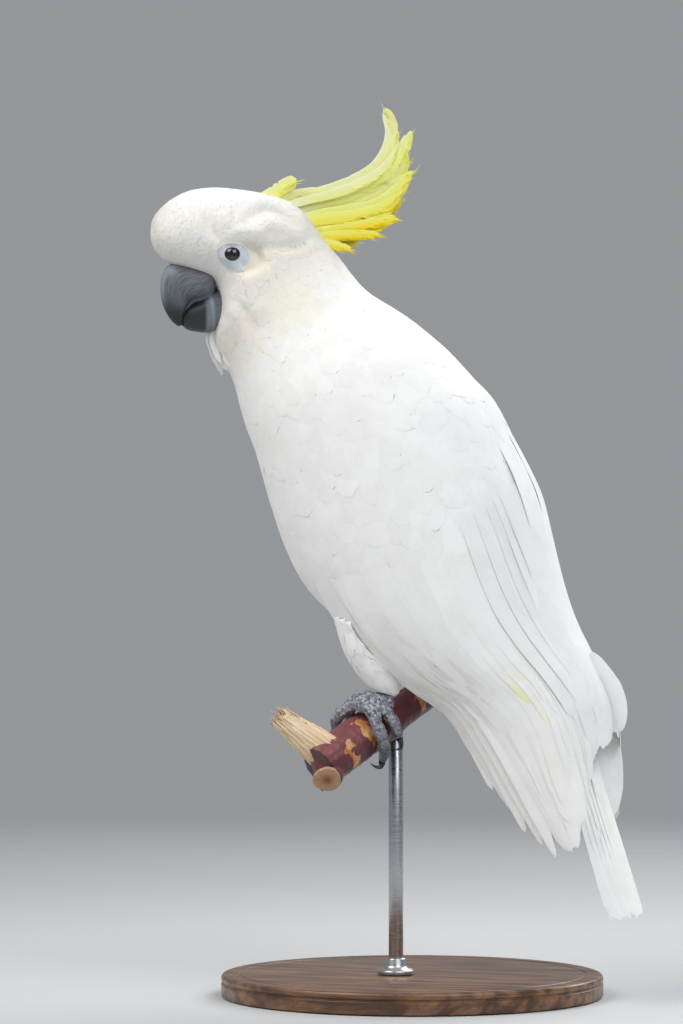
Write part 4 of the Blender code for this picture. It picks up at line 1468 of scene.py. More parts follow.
@dataclass
class Sheaf:
    """Collects long feathers and makes them one closed mesh."""

    columns: int = 11
    rows: int = 40
    seed: int = 1
    soft: float = 0.6             # how evenly its upper sides take the light
    patch: float = 0.003          # width of a feather's place on the skin's map
    marks: Sequence[str] = ("points", "looks", "uv", "wash", "roots")

    def __post_init__(self) -> None:
        """Start with no feather."""
        self.rng = np.random.default_rng(self.seed)
        self.faces: List[Face] = []
        self.count = 0
        self.held: Dict[str, List[Arr]] = {k: [] for k in self.marks}

    def keep(self, points: Arr, faces: Any, look: Arr, uv: Any, wash: Arr, root: Arr) -> None:
        """Add one closed piece to the mesh.

        Args:
            points: Its vertices.
            faces: Its faces, numbered from its own first vertex.
            look: Direction its upper side looks, for each vertex or for all.
            uv: Place across and along the vane.
            wash: Yellow and tint.
            root: Where it leaves the skin.
        """
        n = len(points)
        self.faces += [tuple(int(i) + self.count for i in f) for f in faces]
        self.count += n
        for name, rows in zip(self.marks, (points, look, uv, wash, root)):
            rows = np.asarray(rows, float)
            self.held[name].append(np.broadcast_to(rows, (n, rows.shape[-1])))

    def add(self, q: Quill) -> None:
        """Lay one feather.

        Args:
            q: Its path and its cut.
        """
        v = 1 - (1 - np.linspace(0, 1, self.rows)) ** 1.25
        x = np.linspace(-1, 1, self.columns)
        path = along(q.path, v * (len(q.path) - 1))
        up = unit(along(q.face, v * (len(q.face) - 1)))
        t = unit(np.gradient(path, axis=0))
        side = unit(np.cross(up, t))
        face = np.cross(t, side)
        length = np.linalg.norm(np.diff(path, axis=0), axis=1).sum() / MM
        wide = np.interp(v, [0, 0.12, 0.4, 0.78, 0.88, 0.94, 0.98, 1.0],
                         [q.root_width, (q.root_width + 1) / 2, 1.0, *q.tip.value])[:, None]
        cut = np.ones((self.rows, self.columns))
        for _ in range(q.notches):
            at, edge = self.rng.uniform(0.35, 0.97), self.rng.choice([-1.0, 1.0])
            depth = self.rng.uniform(0.10, 0.28)
            cut *= 1 - depth * bell(v, at, 0.012)[:, None] * ease(0.3, 1.0, x * edge)
        ragged = self.rng.uniform(-1.0, 0.4, self.columns) * q.fray
        swept = 0.06 * q.width * (1 - np.abs(x)) ** 1.3
        shift = (ragged + swept) * ease(0.82, 1.0, v)[:, None]
        across = (x + q.lean * (1 - x ** 2)) * wide * cut * q.width / 2
        wave = 0.03 * np.sin(v * 9 + self.rng.uniform(0, 6))[:, None] * x ** 2
        shaft = 0.08 * bell(x, 0, 0.10) * (1 - 0.7 * v)[:, None]
        high = (q.camber * (1 + 0.5 * v[:, None]) * (1 - x ** 2) * wide - 0.5 * q.tilt * x
                + wave + shaft)
        top = path[:, None] + (side[:, None] * across[..., None] + t[:, None] * shift[..., None]
                               + face[:, None] * high[..., None]) * MM
        body = (1 - x ** 2) * np.sin(np.pi * np.clip(v, 0.02, 0.985))[:, None] ** 0.35
        low = (top - face[:, None] * (q.thick * body)[..., None] * MM).reshape(-1, 3)
        faces, inner = shell(self.rows, self.columns)
        both = np.concatenate([np.arange(cut.size), inner])
        gx, gv = (g.ravel()[both] for g in np.broadcast_arrays((x + 1) / 2, v[:, None]))
        wash = ((q.wash[0] * (1 - gx) + q.wash[1] * gx)
                * ease(q.wash_from, q.wash_from + 0.25, gv))
        tint = np.full(len(both), self.rng.uniform(0, 0.8))
        # The left edge comes last, so each face is wound the other way round.
        self.keep(np.concatenate([top.reshape(-1, 3), low[inner]]), faces[:, [1, 0, 3, 2]],
                  np.repeat(up, self.columns, axis=0)[both],
                  np.stack([gx, gv * length / 20.0], 1), np.stack([wash, tint], 1),
                  top[0, self.columns // 2])

    def barb(self, root: Arr, run: Arr, side: Arr, length: float, width: float,
             wash: float) -> None:
        """Add one loose barb: a thin closed three-sided spike.

        Args:
            root: Where it starts, metres.
            run: Its direction.
            side: Direction across it.
            length: mm.
            width: mm.
            wash: How yellow it is.
        """
        run, side = unit(run), unit(side)
        lift = np.cross(run, side)
        bend = self.rng.normal(0, 0.12, 2)
        mid = root + (run * 0.55 + side * bend[0] + lift * bend[1] * 0.6) * length * MM
        end = root + (run + side * bend[0] * 2.2 + lift * bend[1]) * length * MM
        ring = np.array([side * 0.5, lift * 0.35, side * -0.5]) * width * MM
        faces: List[Face] = [(0, 1, 2)]
        for a, b in ((0, 1), (1, 2), (2, 0)):
            faces += [(b, a, 3 + a, 3 + b), (3 + b, 3 + a, 6)]
        self.keep(np.array([*(root + ring), *(mid + ring * 0.7), end]), faces, side,
                  [0.4, 0.3], np.array([wash, 0.2]), root)

    def build(self, name: str, skin: Obj) -> Obj:
        """The sheaf's feathers as one mesh with their maps and marks.

        Args:
            name: Object's name.
            skin: The skin whose map gives each feather its patch.

        Returns:
            The mesh object.
        """
        points, looks, uv, wash, _ = (np.concatenate(self.held[k]) for k in self.marks)
        tree = BVHTree.FromObject(skin, bpy.context.evaluated_depsgraph_get())
        flat = pull(skin.data.uv_layers["OFBake"].data, "uv", 2)
        patches = []
        for roots, own in zip(self.held["roots"], self.held["uv"]):
            face = skin.data.polygons[tree.find_nearest(Vector(roots[0]))[2]]
            spot = flat[list(face.loop_indices)].mean(axis=0)
            patches.append(spot + own / np.maximum(own.max(axis=0), 1.0) * self.patch)
        ob = mesh_object(name, points, self.faces, turn_out=True)
        map_uv(ob, Vane=uv, OFBake=np.concatenate(patches))
        store(ob, wash=wash[:, 0], tint=wash[:, 1], warm=np.zeros(len(uv)))
        soften(ob, looks, self.soft)
        return ob


@dataclass
class WingFeathers:
    """Coverts, tertials and flight feathers of a folded wing, laid on the outline."""

    outline: Outline
    side: str
    shorten: float = 0.0          # how far the wing's lower tips are drawn in, stations
    low: Sequence[Tuple[float, float]] = ((0, 68), (0.2, 54), (0.45, 44), (0.7, 37), (1, 36))
    high: Sequence[Tuple[float, float]] = ((0, 128), (0.2, 143), (0.45, 156), (0.7, 163),
                                           (1, 163))
    ends: Sequence[Tuple[float, float]] = (
        (0, 23.1), (0.05, 23.7), (0.1, 23.95), (0.17, 24.4), (0.3, 24.85), (0.42, 25.0),
        (0.58, 24.3), (0.74, 23.4), (0.88, 22.8), (1, 22.4))

    def run(self, a: float, s0: float, s1: float, lift: Tuple[float, float], out: float = 0.0,
            drift: float = 0.0) -> Tuple[Arr, Arr]:
        """Shaft points and upward directions of a feather on the wing.

        Args:
            a: Place across the wing, 0 at its lower edge and 1 at the back.
            s0: Station of the root.
            s1: Station of the tip.
            lift: Height over the outline at root and tip, mm.
            out: How far the tip swings toward the lower edge, degrees.
            drift: Bend of the shaft in the middle, degrees.

        Returns:
            The points and the directions.
        """
        v = np.linspace(0, 1, 9)
        s = s0 + (s1 - s0) * v
        b = np.clip((s - 12.5) / 12.0, 0, 1)
        lo, hi = (np.interp(b, *zip(*edge)) for edge in (self.low, self.high))
        angle = lo + (hi - lo) * a - out * v ** 2 + drift * np.sin(np.pi * v)
        up = lift[0] + (lift[1] - lift[0]) * ease(0.0, 0.6, v)
        return self.outline.over(s, angle * self.sign, up)

    @property
    def sign(self) -> float:
        """1 on the left side and -1 on the right."""
        return 1.0 if self.side == "left" else -1.0

    def flight(self, sheaf: Sheaf) -> None:
        """Flight feathers, the wing's lower layer, whose tips step round its end.

        Args:
            sheaf: Takes the feathers.
        """
        rng, sign = sheaf.rng, self.sign
        for a in np.linspace(0.01, 0.93, 20):
            tip = float(np.interp(a, *zip(*self.ends))) - self.shorten * (1 - ease(0.0, 0.4, a))
            tip += rng.uniform(-0.14, 0.05)
            path, face = self.run(a, 17.0 + 0.6 * a, tip, (-2.8, -0.5), out=3.0 * (a < 0.3),
                                  drift=rng.uniform(-1, 1))
            yellow = (0.07 if sign > 0 else 0.03) * bell(a, 0.60, 0.08)
            sheaf.add(Quill(path, face, rng.uniform(17.5, 21.0),
                            Tip.POINTED if a < 0.5 else Tip.ROUND, tilt=-0.06 * sign,
                            camber=0.75, fray=1.0, lean=-0.2 * sign, thick=0.14,
                            wash=(yellow, yellow), wash_from=0.25))

    def coverts(self, sheaf: Sheaf) -> None:
        """Secondaries over the flight feathers, then the greater coverts over them.

        Args:
            sheaf: Takes the feathers.
        """
        rng, sign = sheaf.rng, self.sign
        for count, root, tip, slope, lift, width, spread in (
                (17, 16.8, 22.0, 1.0, (-3.0, -0.25), 19.0, 0.35),
                (18, 16.4, 20.9, 0.8, (-3.2, -0.05), 18.0, 0.40)):
            for a in np.linspace(0.02, 1.0, count):
                a += rng.uniform(-0.015, 0.015)
                end = tip + slope * a + rng.uniform(-spread, spread)
                path, face = self.run(a, root, end, lift, drift=rng.uniform(-2, 2))
                yellow = (0.50 if sign > 0 else 0.05) * bell(a, 0.61, 0.035)
                sheaf.add(Quill(path, face, rng.uniform(width - 1.5, width + 2.0),
                                tilt=-0.035 * sign, camber=0.62, notches=1, fray=0.7,
                                lean=-0.15 * sign, thick=0.14, wash=(yellow, 0.0),
                                wash_from=0.68))

    def edges(self, sheaf: Sheaf) -> None:
        """Loose tips that hang from the lower edge, and the tertials nearest the back.

        Args:
            sheaf: Takes the feathers.
        """
        rng, sign = sheaf.rng, self.sign
        for a, tip, out in ((0.0, 22.5, 7.0), (0.02, 23.0, 10.0), (0.05, 23.5, 8.0),
                            (0.09, 24.0, 9.0), (0.14, 24.4, 6.0), (0.2, 24.8, 4.0)):
            path, face = self.run(a, 19.5, tip - self.shorten, (-1.5, 0.3))
            hang = np.linspace(0, 1, 9)[:, None] ** 3 * out * MM
            sheaf.add(Quill(path + hang * [-0.85, 0.0, -0.5], face + [0.3, -1.2 * sign, 0.1],
                            rng.uniform(9.0, 12.0), Tip.POINTED, tilt=0.1 * sign, camber=0.3,
                            fray=1.4, lean=0.2 * sign, thick=0.12))
        late, sunk = (0.5, 1.5) if sign < 0 else (0.0, 0.0)
        for k, (a, tip, width) in enumerate(((0.80, 22.3, 24.0), (0.88, 22.0, 25.0),
                                             (0.95, 21.7, 25.0), (1.0, 21.2, 24.0),
                                             (1.04, 20.6, 22.0))):
            path, face = self.run(a, 15.8, tip + late, (-3.4, 0.1 + 0.05 * k - sunk))
            sheaf.add(Quill(path, face, width, camber=1.1, notches=1, fray=0.6, thick=0.15))

    def far_tips(self, sheaf: Sheaf) -> None:
        """The far wing's last tips, which swing out past the rump and turn to the side.

        Args:
            sheaf: Takes the feathers.
        """
        for line, left, tip in (
                (((94, 188), (103, 173), (107.5, 160), (106.0, 147)), 0.5, Tip.ROUND),
                (((92, 176), (102, 150), (107, 125), (106.5, 98)), -17.0, Tip.POINTED)):
            u, z = along(line, np.linspace(0, 3, 9)).T
            path = place(u + left * math.sin(math.radians(VIEW_TURN)), z, left, 0)
            sheaf.add(Quill(path, np.tile([0.35, -1.0, 0.15], (9, 1)), 17.0, tip, camber=0.3,
                            notches=1, fray=0.6, thick=0.12))

    def mantle(self, sheaf: Sheaf) -> None:
        """Broad feathers that close the groove between the folded wings.

        Args:
            sheaf: Takes the feathers.
        """
        rise = ease(0.0, 0.6, np.linspace(0, 1, 9))
        for k, (angle, tip) in enumerate(((-166, 20.0), (173, 20.8), (-173, 20.6), (180, 21.3))):
            path, face = self.outline.over(np.linspace(14.2, tip, 9), np.full(9, float(angle)),
                                           -3.4 + (3.1 + 0.06 * k) * rise)
            sheaf.add(Quill(path, face, 23.0, camber=0.9, notches=1, fray=0.6, thick=0.12))

    def build(self, skin: Obj) -> Obj:
        """Lay every long feather of the wing, each layer over the last.

        Args:
            skin: The skin they lie on.

        Returns:
            The mesh object.
        """
        near = self.side == "left"
        sheaf = Sheaf(seed=21 if near else 22, soft=0.82)
        for lay in (self.flight, self.coverts, self.edges, self.mantle if near else self.far_tips):
            lay(sheaf)
        return sheaf.build(f"wing_feathers_{self.side}", skin)


@dataclass
class TailFeathers:
    """Twelve tail feathers, the middle pair uppermost, and the long coverts on their roots."""

    line: TailLine
    count: int = 12
    coverts: int = 9              # above the roots, and as many below

    def build(self, skin: Obj) -> Obj:
        """Lay the fan; its feathers tilt and bow as the fan itself does.

        Args:
            skin: The skin they lie on.

        Returns:
            The mesh object.
        """
        sheaf = Sheaf(seed=31, soft=0.9)
        down, v = self.line.axes()[2], np.linspace(0.0, 1.0, 9)
        for k in range(self.count):
            w = -1 + (2 * k + 1) / self.count
            tip = 0.975 - 0.03 * w * w + 0.025 * w + 0.012 * (k % 2)
            path = self.line.point(-0.06 + v * (tip + 0.06), w * 0.80)
            path = path + down * (0.35 * abs(w) - 0.9 + v ** 2)[:, None] * MM
            yellow = 0.07 * (1 - abs(w))
            sheaf.add(Quill(path, np.tile(LEFT * w * 0.53 - down, (9, 1)), 19.0, Tip.SQUARE,
                            camber=0.82, thick=0.10, notches=1, fray=1.3,
                            lean=-0.15 * math.copysign(1, w), wash=(yellow, yellow),
                            root_width=0.6))
        for way, lift, reach in ((-1.0, 3.4, 0.50), (1.0, 4.6, 0.52)):
            for k in range(self.coverts):
                w = (-1 + (2 * k + 1) / self.coverts) * 0.80
                tip = reach * (1.0 - 0.25 * w * w) + sheaf.rng.uniform(-0.05, 0.05)
                path = self.line.point(-0.05 + v * (tip + 0.05), w)
                path = path + down * (way * (lift * (1 - v) + 0.6) * MM)[:, None]
                sheaf.add(Quill(path, np.tile((down - LEFT * w * 0.6) * way, (9, 1)), 14.0,
                                tilt=0.12 if w > 0 else -0.12, camber=-0.45 * way, notches=1,
                                fray=0.8, thick=0.15))
        return sheaf.build("tail_feathers", skin)


CHIN = (  # the pointed feathers that hang under the lower mandible
    (((-109.0, 371.0), (-112.4, 363.0), (-110.6, 355.0), (-108.0, 346.5)), 3.8, 1.0, 0.0),
    (((-107.0, 370.0), (-109.6, 361.0), (-107.6, 351.0), (-104.8, 342.0)), 4.2, -1.0, 0.0),
    (((-108.0, 370.0), (-110.6, 362.0), (-109.2, 355.0), (-106.6, 348.5)), 4.0, 3.0, 0.0),
    (((-105.0, 370.0), (-107.0, 360.0), (-105.4, 351.0), (-102.6, 344.5)), 5.2, 2.0, 0.0),
    (((-106.0, 370.0), (-108.4, 360.0), (-107.0, 353.0), (-104.4, 347.0)), 5.2, -4.0, 0.0),
    (((-103.0, 368.0), (-104.6, 359.0), (-103.6, 352.0), (-101.4, 346.5)), 5.2, 5.0, 0.0))


@dataclass
class Crest:
    """The raised lemon crest: long plumes recurved forward, with a frayed lower edge.

    Each row holds the plume's middle line (side-view u and z), width, left offset and yellow.
    """

    plumes: Sequence[Tuple[Path, float, float, float]] = (
        (((-91.0, 436.0), (-79.0, 441.5), (-71.0, 446.8), (-65.0, 449.6)), 8.0, 3.2, 0.48),
        (((-88.0, 435.0), (-74.0, 440.0), (-60.0, 442.5), (-50.0, 444.5)), 7.0, 1.2, 0.38),
        (((-86.0, 434.0), (-60.0, 440.8), (-40.0, 446.4), (-22.5, 455.0), (-13.5, 466.0),
          (-10.6, 478.5), (-14.6, 491.0)), 8.5, 0.0, 0.34),
        (((-82.0, 430.0), (-55.0, 437.6), (-35.0, 443.2), (-16.5, 452.6), (-7.0, 463.4),
          (-0.6, 478.4)), 10.0, 2.3, 0.42),
        (((-78.0, 427.0), (-52.0, 433.4), (-33.6, 437.6), (-15.7, 444.8), (-5.6, 454.8),
          (-2.0, 467.0)), 10.5, -2.5, 0.50),
        (((-75.0, 424.0), (-52.5, 429.4), (-32.5, 432.4), (-14.6, 438.8), (-0.8, 456.0)),
         10.5, 4.6, 0.62),
        (((-72.0, 420.0), (-51.6, 425.0), (-34.0, 426.8), (-17.0, 431.2), (-4.0, 440.0)),
         10.0, -5.0, 0.82),
        (((-68.0, 416.0), (-50.0, 420.4), (-36.5, 421.0), (-24.0, 423.6), (-11.3, 430.4)),
         9.0, 6.8, 0.86),
        (((-64.0, 412.0), (-48.0, 415.0), (-39.0, 415.4), (-27.6, 416.8)), 7.0, -7.0, 0.66),
        (((-56.0, 420.0), (-34.0, 424.0), (-9.5, 428.5)), 6.5, 7.5, 0.9),
        (((-62.0, 416.0), (-42.0, 419.0), (-20.0, 419.8)), 6.5, 7.8, 0.9),
        (((-66.0, 413.0), (-52.0, 414.8), (-36.2, 411.8)), 6.0, 7.0, 0.8))
    between: int = 5              # plumes laid for each row, the extra ones between two rows
    barbs: int = 26
    fine: int = 14                # points of each plume's line
    name: str = "crest_plumes"

    def lines(self, rng: np.random.Generator) -> List[Tuple[Arr, float, float, float]]:
        """The plumes of the rows, and those laid between two rows.

        Args:
            rng: Source of the random spread.

        Returns:
            Middle line, width, left offset and yellow of each.
        """
        laid, n = [], self.fine
        drawn = [(along(line, np.linspace(0, len(line) - 1, n)), *rest)
                 for line, *rest in self.plumes]
        for k, (fine, width, left, yellow) in enumerate(drawn):
            laid.append((fine, width, left, yellow))
            if 2 <= k < min(len(drawn) - 1, 8):
                to, _, _, yellow_to = drawn[k + 1]
                for m in range(1, self.between):
                    f = m / self.between
                    reach = np.linspace(0, (n - 1) * rng.uniform(0.76, 0.93), n)
                    laid.append((along(fine * (1 - f) + to * f, reach) + rng.normal(0, 0.4, 2),
                                 rng.uniform(5.0, 7.5), rng.uniform(0.5, 7.5) * (-1) ** m,
                                 yellow * (1 - f) + yellow_to * f))
        return laid

    def build(self, skin: Obj) -> Obj:
        """Lay the plumes and the loose barbs along them.

        Args:
            skin: The skin they stand on.

        Returns:
            The mesh object.
        """
        sheaf = Sheaf(columns=9, rows=44, seed=41, soft=0.75)
        for fine, width, left, yellow in self.lines(sheaf.rng):
            spread = left * (0.6 + 0.9 * np.linspace(0, 1, self.fine))
            path = place(fine[:, 0], fine[:, 1], spread, HEAD_YAW)
            out = 1.0 if left >= 0 else -1.0
            face = np.tile(HEAD_LEFT * out + UP * 0.15, (self.fine, 1))
            pale, rich = yellow * 0.58, min(yellow * 1.15, 1.0)
            blunt = 7 < width < 9.0 and 0 <= left < 6 and yellow > 0
            sheaf.add(Quill(path, face, width, Tip.ROUND if blunt else Tip.POINTED, camber=0.07,
                            notches=3, fray=1.4, wash=(rich, pale) if out > 0 else (pale, rich),
                            thick=0.12, root_width=0.5, tilt=0.05, wash_from=0.02))
            self.fringe(sheaf, path, face, width, yellow)
        return sheaf.build(self.name, skin)

    def fringe(self, sheaf: Sheaf, path: Arr, face: Arr, width: float, yellow: float) -> None:
        """Loose barbs that stand out past a plume's lower edge and its tip.

        Args:
            sheaf: Takes the barbs.
            path: The plume's shaft.
            face: Direction that its upper side looks.
            width: Its width, mm.
            yellow: How yellow it is.
        """
        t = unit(np.gradient(path, axis=0))
        side = unit(np.cross(face, t))
        low = np.where(side[:, 2:] > 0, -side, side)
        for _ in range(self.barbs):
            s = sheaf.rng.uniform(0.45, 1.0) * (len(path) - 1)
            p, run, out = (along(rows, s) for rows in (path, t, low))
            reach = width * (0.32 if s < 11 else 0.1)
            sheaf.barb(p + out * reach * sheaf.rng.uniform(0.3, 1.0) * MM,
                       run + out * sheaf.rng.uniform(0.05, 0.32), face[0],
                       sheaf.rng.uniform(3.0, 7.5), sheaf.rng.uniform(0.5, 1.6), yellow * 1.1)


# ---------------------------------------------------------------- bill and eyes

@dataclass
class Bill:
    """Both halves of the hooked bill.

    Each row holds ridge u and z, cutting-edge u and z, and half width, in mm.
    """

    upper: Sequence[Row] = (
        (-117.0, 403.5, -109.0, 391.0, 11.0), (-126.5, 403.5, -110.8, 384.5, 12.0),
        (-134.5, 401.5, -115.3, 381.7, 12.0), (-137.8, 395.4, -119.8, 381.0, 11.2),
        (-138.6, 388.2, -122.4, 379.4, 10.0), (-137.7, 381.6, -124.2, 377.2, 8.4),
        (-135.7, 376.1, -125.1, 374.5, 6.4), (-132.6, 371.4, -125.7, 371.7, 4.2),
        (-129.3, 368.4, -126.0, 369.2, 2.0))
    lower: Sequence[Row] = (
        (-101.5, 391.5, -103.4, 368.5, 10.5), (-107.6, 389.5, -108.9, 366.0, 11.6),
        (-114.4, 385.8, -113.9, 365.0, 11.2), (-119.4, 382.6, -118.3, 365.3, 9.6),
        (-124.6, 379.6, -123.6, 366.4, 7.4), (-127.6, 376.2, -126.6, 368.6, 4.6))
    around: int = 72
    steps: int = 90
    square: float = 2.3           # 2 for round sections, more for squarer ones

    def swell(self, turn: Arr, v: float, upper: bool) -> Arr:
        """How far a section swells or sinks, as a share of its size.

        Args:
            turn: Angle from the ridge, the same both ways round.
            v: Place from root to tip.
            upper: Whether it is the upper half.

        Returns:
            A factor for each angle.
        """
        if upper:
            marks = ((0.030, 0.0, 0.13), (0.035 * bell(v, 0.25, 0.16), 2.25, 0.35),
                     (0.05 * (1 - 0.5 * v), 2.72, 0.12), (-0.05, 2.42, 0.16))
        else:
            marks = ((0.06, 0.55, 0.16), (-0.10, 0.0, 0.3))
        return 1 + sum(high * bell(turn, at, width) for high, at, width in marks)

    def half(self, horn: Mat, which: str) -> None:
        """Loft, mark and dress one half of the bill.

        Args:
            horn: Its finish.
            which: "upper" or "lower".
        """
        upper = which == "upper"
        table, broader_low = (self.upper, 0.10) if upper else (self.lower, -0.05)
        turn, share = circle(self.around), np.linspace(0, 1, self.steps)
        near = np.minimum(turn, FULL - turn)
        c, w = np.cos(turn), np.sin(turn)
        p = (np.abs(c) ** self.square + np.abs(w) ** self.square) ** (-1 / self.square)
        rings = []
        for r, v in zip(along(table, share * (len(table) - 1)), share):
            ridge, edge = place(r[0], r[1], 0, HEAD_YAW), place(r[2], r[3], 0, HEAD_YAW)
            out = p * self.swell(near, v, upper)
            rings.append((ridge + edge) / 2 + (ridge - edge) / 2 * (c * out)[:, None]
                         + HEAD_LEFT * (w * out * (1 - broader_low * c) * r[4])[:, None] * MM)
        ob = lofted(f"bill_{which}_horn", rings, weld=1e-9)
        # The two end points sit on the lower middle, at the root and the tip.
        fold = np.append(np.tile(near / math.pi, self.steps), (1.0, 1.0))
        v = np.append(np.repeat(share, self.around), (0.0, 1.0))
        map_uv(ob, Growth=np.stack([fold * 0.5, v], 1))
        if upper:
            # A pale band down the ridge: painted highlight.
            culmen = 0.55 * bell(fold, 0.10, 0.09) * (1 - ease(0.55, 0.8, v))
            # A dark tip; the lower half of the upper mandible is darkened as painted shade.
            tip = np.maximum(ease(0.46, 0.80, v), 0.85 * ease(0.50, 0.78, fold)
                             * ease(0.10, 0.45, v))
            # A pale line along the cutting edge: painted highlight.
            edge = 0.55 * bell(fold, 0.80, 0.045) * (1 - ease(0.5, 0.8, v))
        else:
            # A pale panel on the side: painted highlight.
            culmen = 0.35 * bell(fold, 0.62, 0.2)
            # The lower mandible's front, a spot on its side and its top band under the upper
            # mandible are darkened as painted shade.
            tip = (0.95 * ease(0.40, 0.50, v) + 0.35 * bell(v, 0.26, 0.08)
                   + 0.6 * (1 - ease(0.12, 0.26, fold)))
            # Pale lines along the lower mandible's edges: painted highlight.
            edge = 0.9 * (bell(v, 0.38 - 0.12 * fold, 0.028) + 0.5 * bell(v, 0.12, 0.04))
        store(ob, culmen=culmen, tip=np.clip(tip, 0, 1), edge=edge)
        apply_modifier(ob, "SUBSURF", levels=1, render_levels=1)
        dress(ob, horn, [f"bill_{which}"])


@dataclass
class Eye:
    """One eye: the wet ball, its lids and the bare ring round them, in mm."""

    side: str
    ball: float = 6.2
    opening: float = 4.1          # radius of the lid opening
    ring: float = 8.65            # radius of the bare ring
    around: int = 72
    steps: int = 22
    meridians: int = 48

    def __post_init__(self) -> None:
        """Find the middle of the ball, and its outward and forward directions."""
        sign = 1.0 if self.side == "left" else -1.0
        ahead = np.cross(HEAD_LEFT, UP)
        self.middle = sum(np.array(c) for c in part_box(f"eye_{self.side}")) / 2
        self.out = unit(HEAD_LEFT * sign + ahead * 0.20)
        fwd = unit(np.cross(UP, self.out))
        self.fwd = fwd if fwd @ ahead > 0 else -fwd

    def globe(self, glaze: Mat) -> None:
        """The ball with its raised cornea.

        Args:
            glaze: The finish.
        """
        n, turn = self.meridians, circle(self.meridians)[:, None]
        rings, mark = [], []
        for lat in np.linspace(0.02, math.pi - 0.05, 40):
            r = self.ball + 0.45 * bell(lat, 0, 0.5)
            across = (self.fwd * np.cos(turn) + UP * np.sin(turn)) * math.sin(lat)
            rings.append(self.middle + (self.out * math.cos(lat) + across) * r * MM)
            mark += [math.sin(lat) * r / self.opening if lat < math.pi / 2 else 2.0] * n
        ob = lofted(f"eyeball_{self.side}", rings, weld=1e-9)
        store(ob, from_pupil=mark + [0.0, 2.0])
        dress(ob, glaze, [f"eye_{self.side}"])

    def lids(self, skin: Obj, finish: Mat) -> None:
        """The lid rims and the wrinkled ring, tucked under the feathers at its edge.

        Args:
            skin: The skin that the ring's edge lies on.
            finish: Its finish.
        """
        tree = BVHTree.FromObject(skin, bpy.context.evaluated_depsgraph_get())
        n, turn = self.around, circle(self.around)
        c, w = np.cos(turn), np.sin(turn)
        spokes = self.fwd * c[:, None] + UP * w[:, None]
        oval = 1.0 - 0.10 * w ** 2 - 0.04 * np.clip(w, 0, 1)
        edge = self.ring - 0.25 * c - 2.15 * w + 1.9 * c ** 2
        seat = np.ones(n)
        for i, p in enumerate(self.middle + spokes * (edge + 1.2)[:, None] * MM):
            hit = tree.ray_cast(Vector(p + self.out * 0.03), Vector(-self.out), 0.06)[0]
            if hit is not None:
                seat[i] = (np.array(hit) - self.middle) @ self.out / MM
        top = math.sqrt((self.ball + 0.30) ** 2 - self.opening ** 2)
        rows, rim, fade = [], [], []
        for v in np.linspace(0, 1, self.steps):
            r = self.opening * oval * (1 - v) + edge * v
            low = ease(0.0, 1.0, v)
            h = (top * (1 - low) + (seat + 0.2) * low + 0.40 * bell(v, 0.08, 0.07)
                 + 0.20 * bell(v, 0.34, 0.06) * (0.6 + 0.4 * w)
                 + 0.05 * np.sin(v * 34 + 1.5 * np.sin(turn * 2))
                 + 0.05 * np.sin(turn * 26 + v * 6) * v - 1.3 * ease(0.84, 1.0, v))
            rows.append(self.middle + (spokes * r[:, None] + self.out * h[:, None]) * MM)
            rim += [0.8 * float(bell(v, 0, 0.05))] * n
            fade += list(ease(0.66, 0.92, v + 0.03 * np.sin(turn * 7) + 0.02 * np.sin(turn * 13)))
        rings = ([rows[0] - self.out * 1.6 * MM] + rows
                 + [r - self.out * 0.9 * MM for r in rows[::-1]])
        last = (len(rings) - 1) * n
        faces = belt(len(rings), n) + [(last + j, last + (j + 1) % n, (j + 1) % n, j)
                                       for j in range(n)]
        ob = mesh_object(f"eye_ring_{self.side}", np.concatenate(rings), faces, weld=1e-9)
        store(ob, rim=[0.9] * n + rim + rim[::-1], fade=[0.0] * n + fade + [1.0] * len(fade))
        dress(ob, finish)


# ---------------------------------------------------------------- feet and perch

@dataclass
class PerchLine:
    """The branch under the feet, in mm: its place, direction, start and thickness."""

    foot: Tuple[float, float, float] = (-15.1, -26.0, 146.3)
    direction: Tuple[float, float, float] = (0.426, 0.793, 0.436)
    start: float = -42.0
    radius: float = 12.0

    def __post_init__(self) -> None:
        """Find the directions along, forward of and above the branch."""
        self.run = unit(np.array(self.direction))
        ahead = np.array([-1.0, 0.0, 0.0])
        self.ahead = unit(ahead - self.run * ahead.dot(self.run))
        up = np.cross(self.run, self.ahead)
        self.up = up if up[2] > 0 else -up

    def thick(self, t: Any) -> Any:
        """Radius at a distance along the branch, mm."""
        return self.radius * (1.03 - 0.24 * ease(0, 30, t))

    def at(self, t: float, angle: float, radius: float) -> Arr:
        """World point round the branch; angle is degrees from the top, + forward.

        Args:
            t: Distance along the branch, mm.
            angle: Degrees from the top.
            radius: Distance from the axis, mm.

        Returns:
            The point, metres.
        """
        a = math.radians(angle)
        return (np.array(self.foot) + self.run * t
                + (self.up * math.cos(a) + self.ahead * math.sin(a)) * radius) * MM

    def coords(self, co: Arr) -> Tuple[Arr, Arr, Arr, Arr]:
        """Place from the foot, distance along, degrees from the top and radius, mm.

        Args:
            co: World points, metres.

        Returns:
            An array of each.
        """
        rel = co / MM - np.array(self.foot)
        x, y = rel @ self.ahead, rel @ self.up
        return rel, rel @ self.run, np.degrees(np.arctan2(x, y)), np.hypot(x, y)


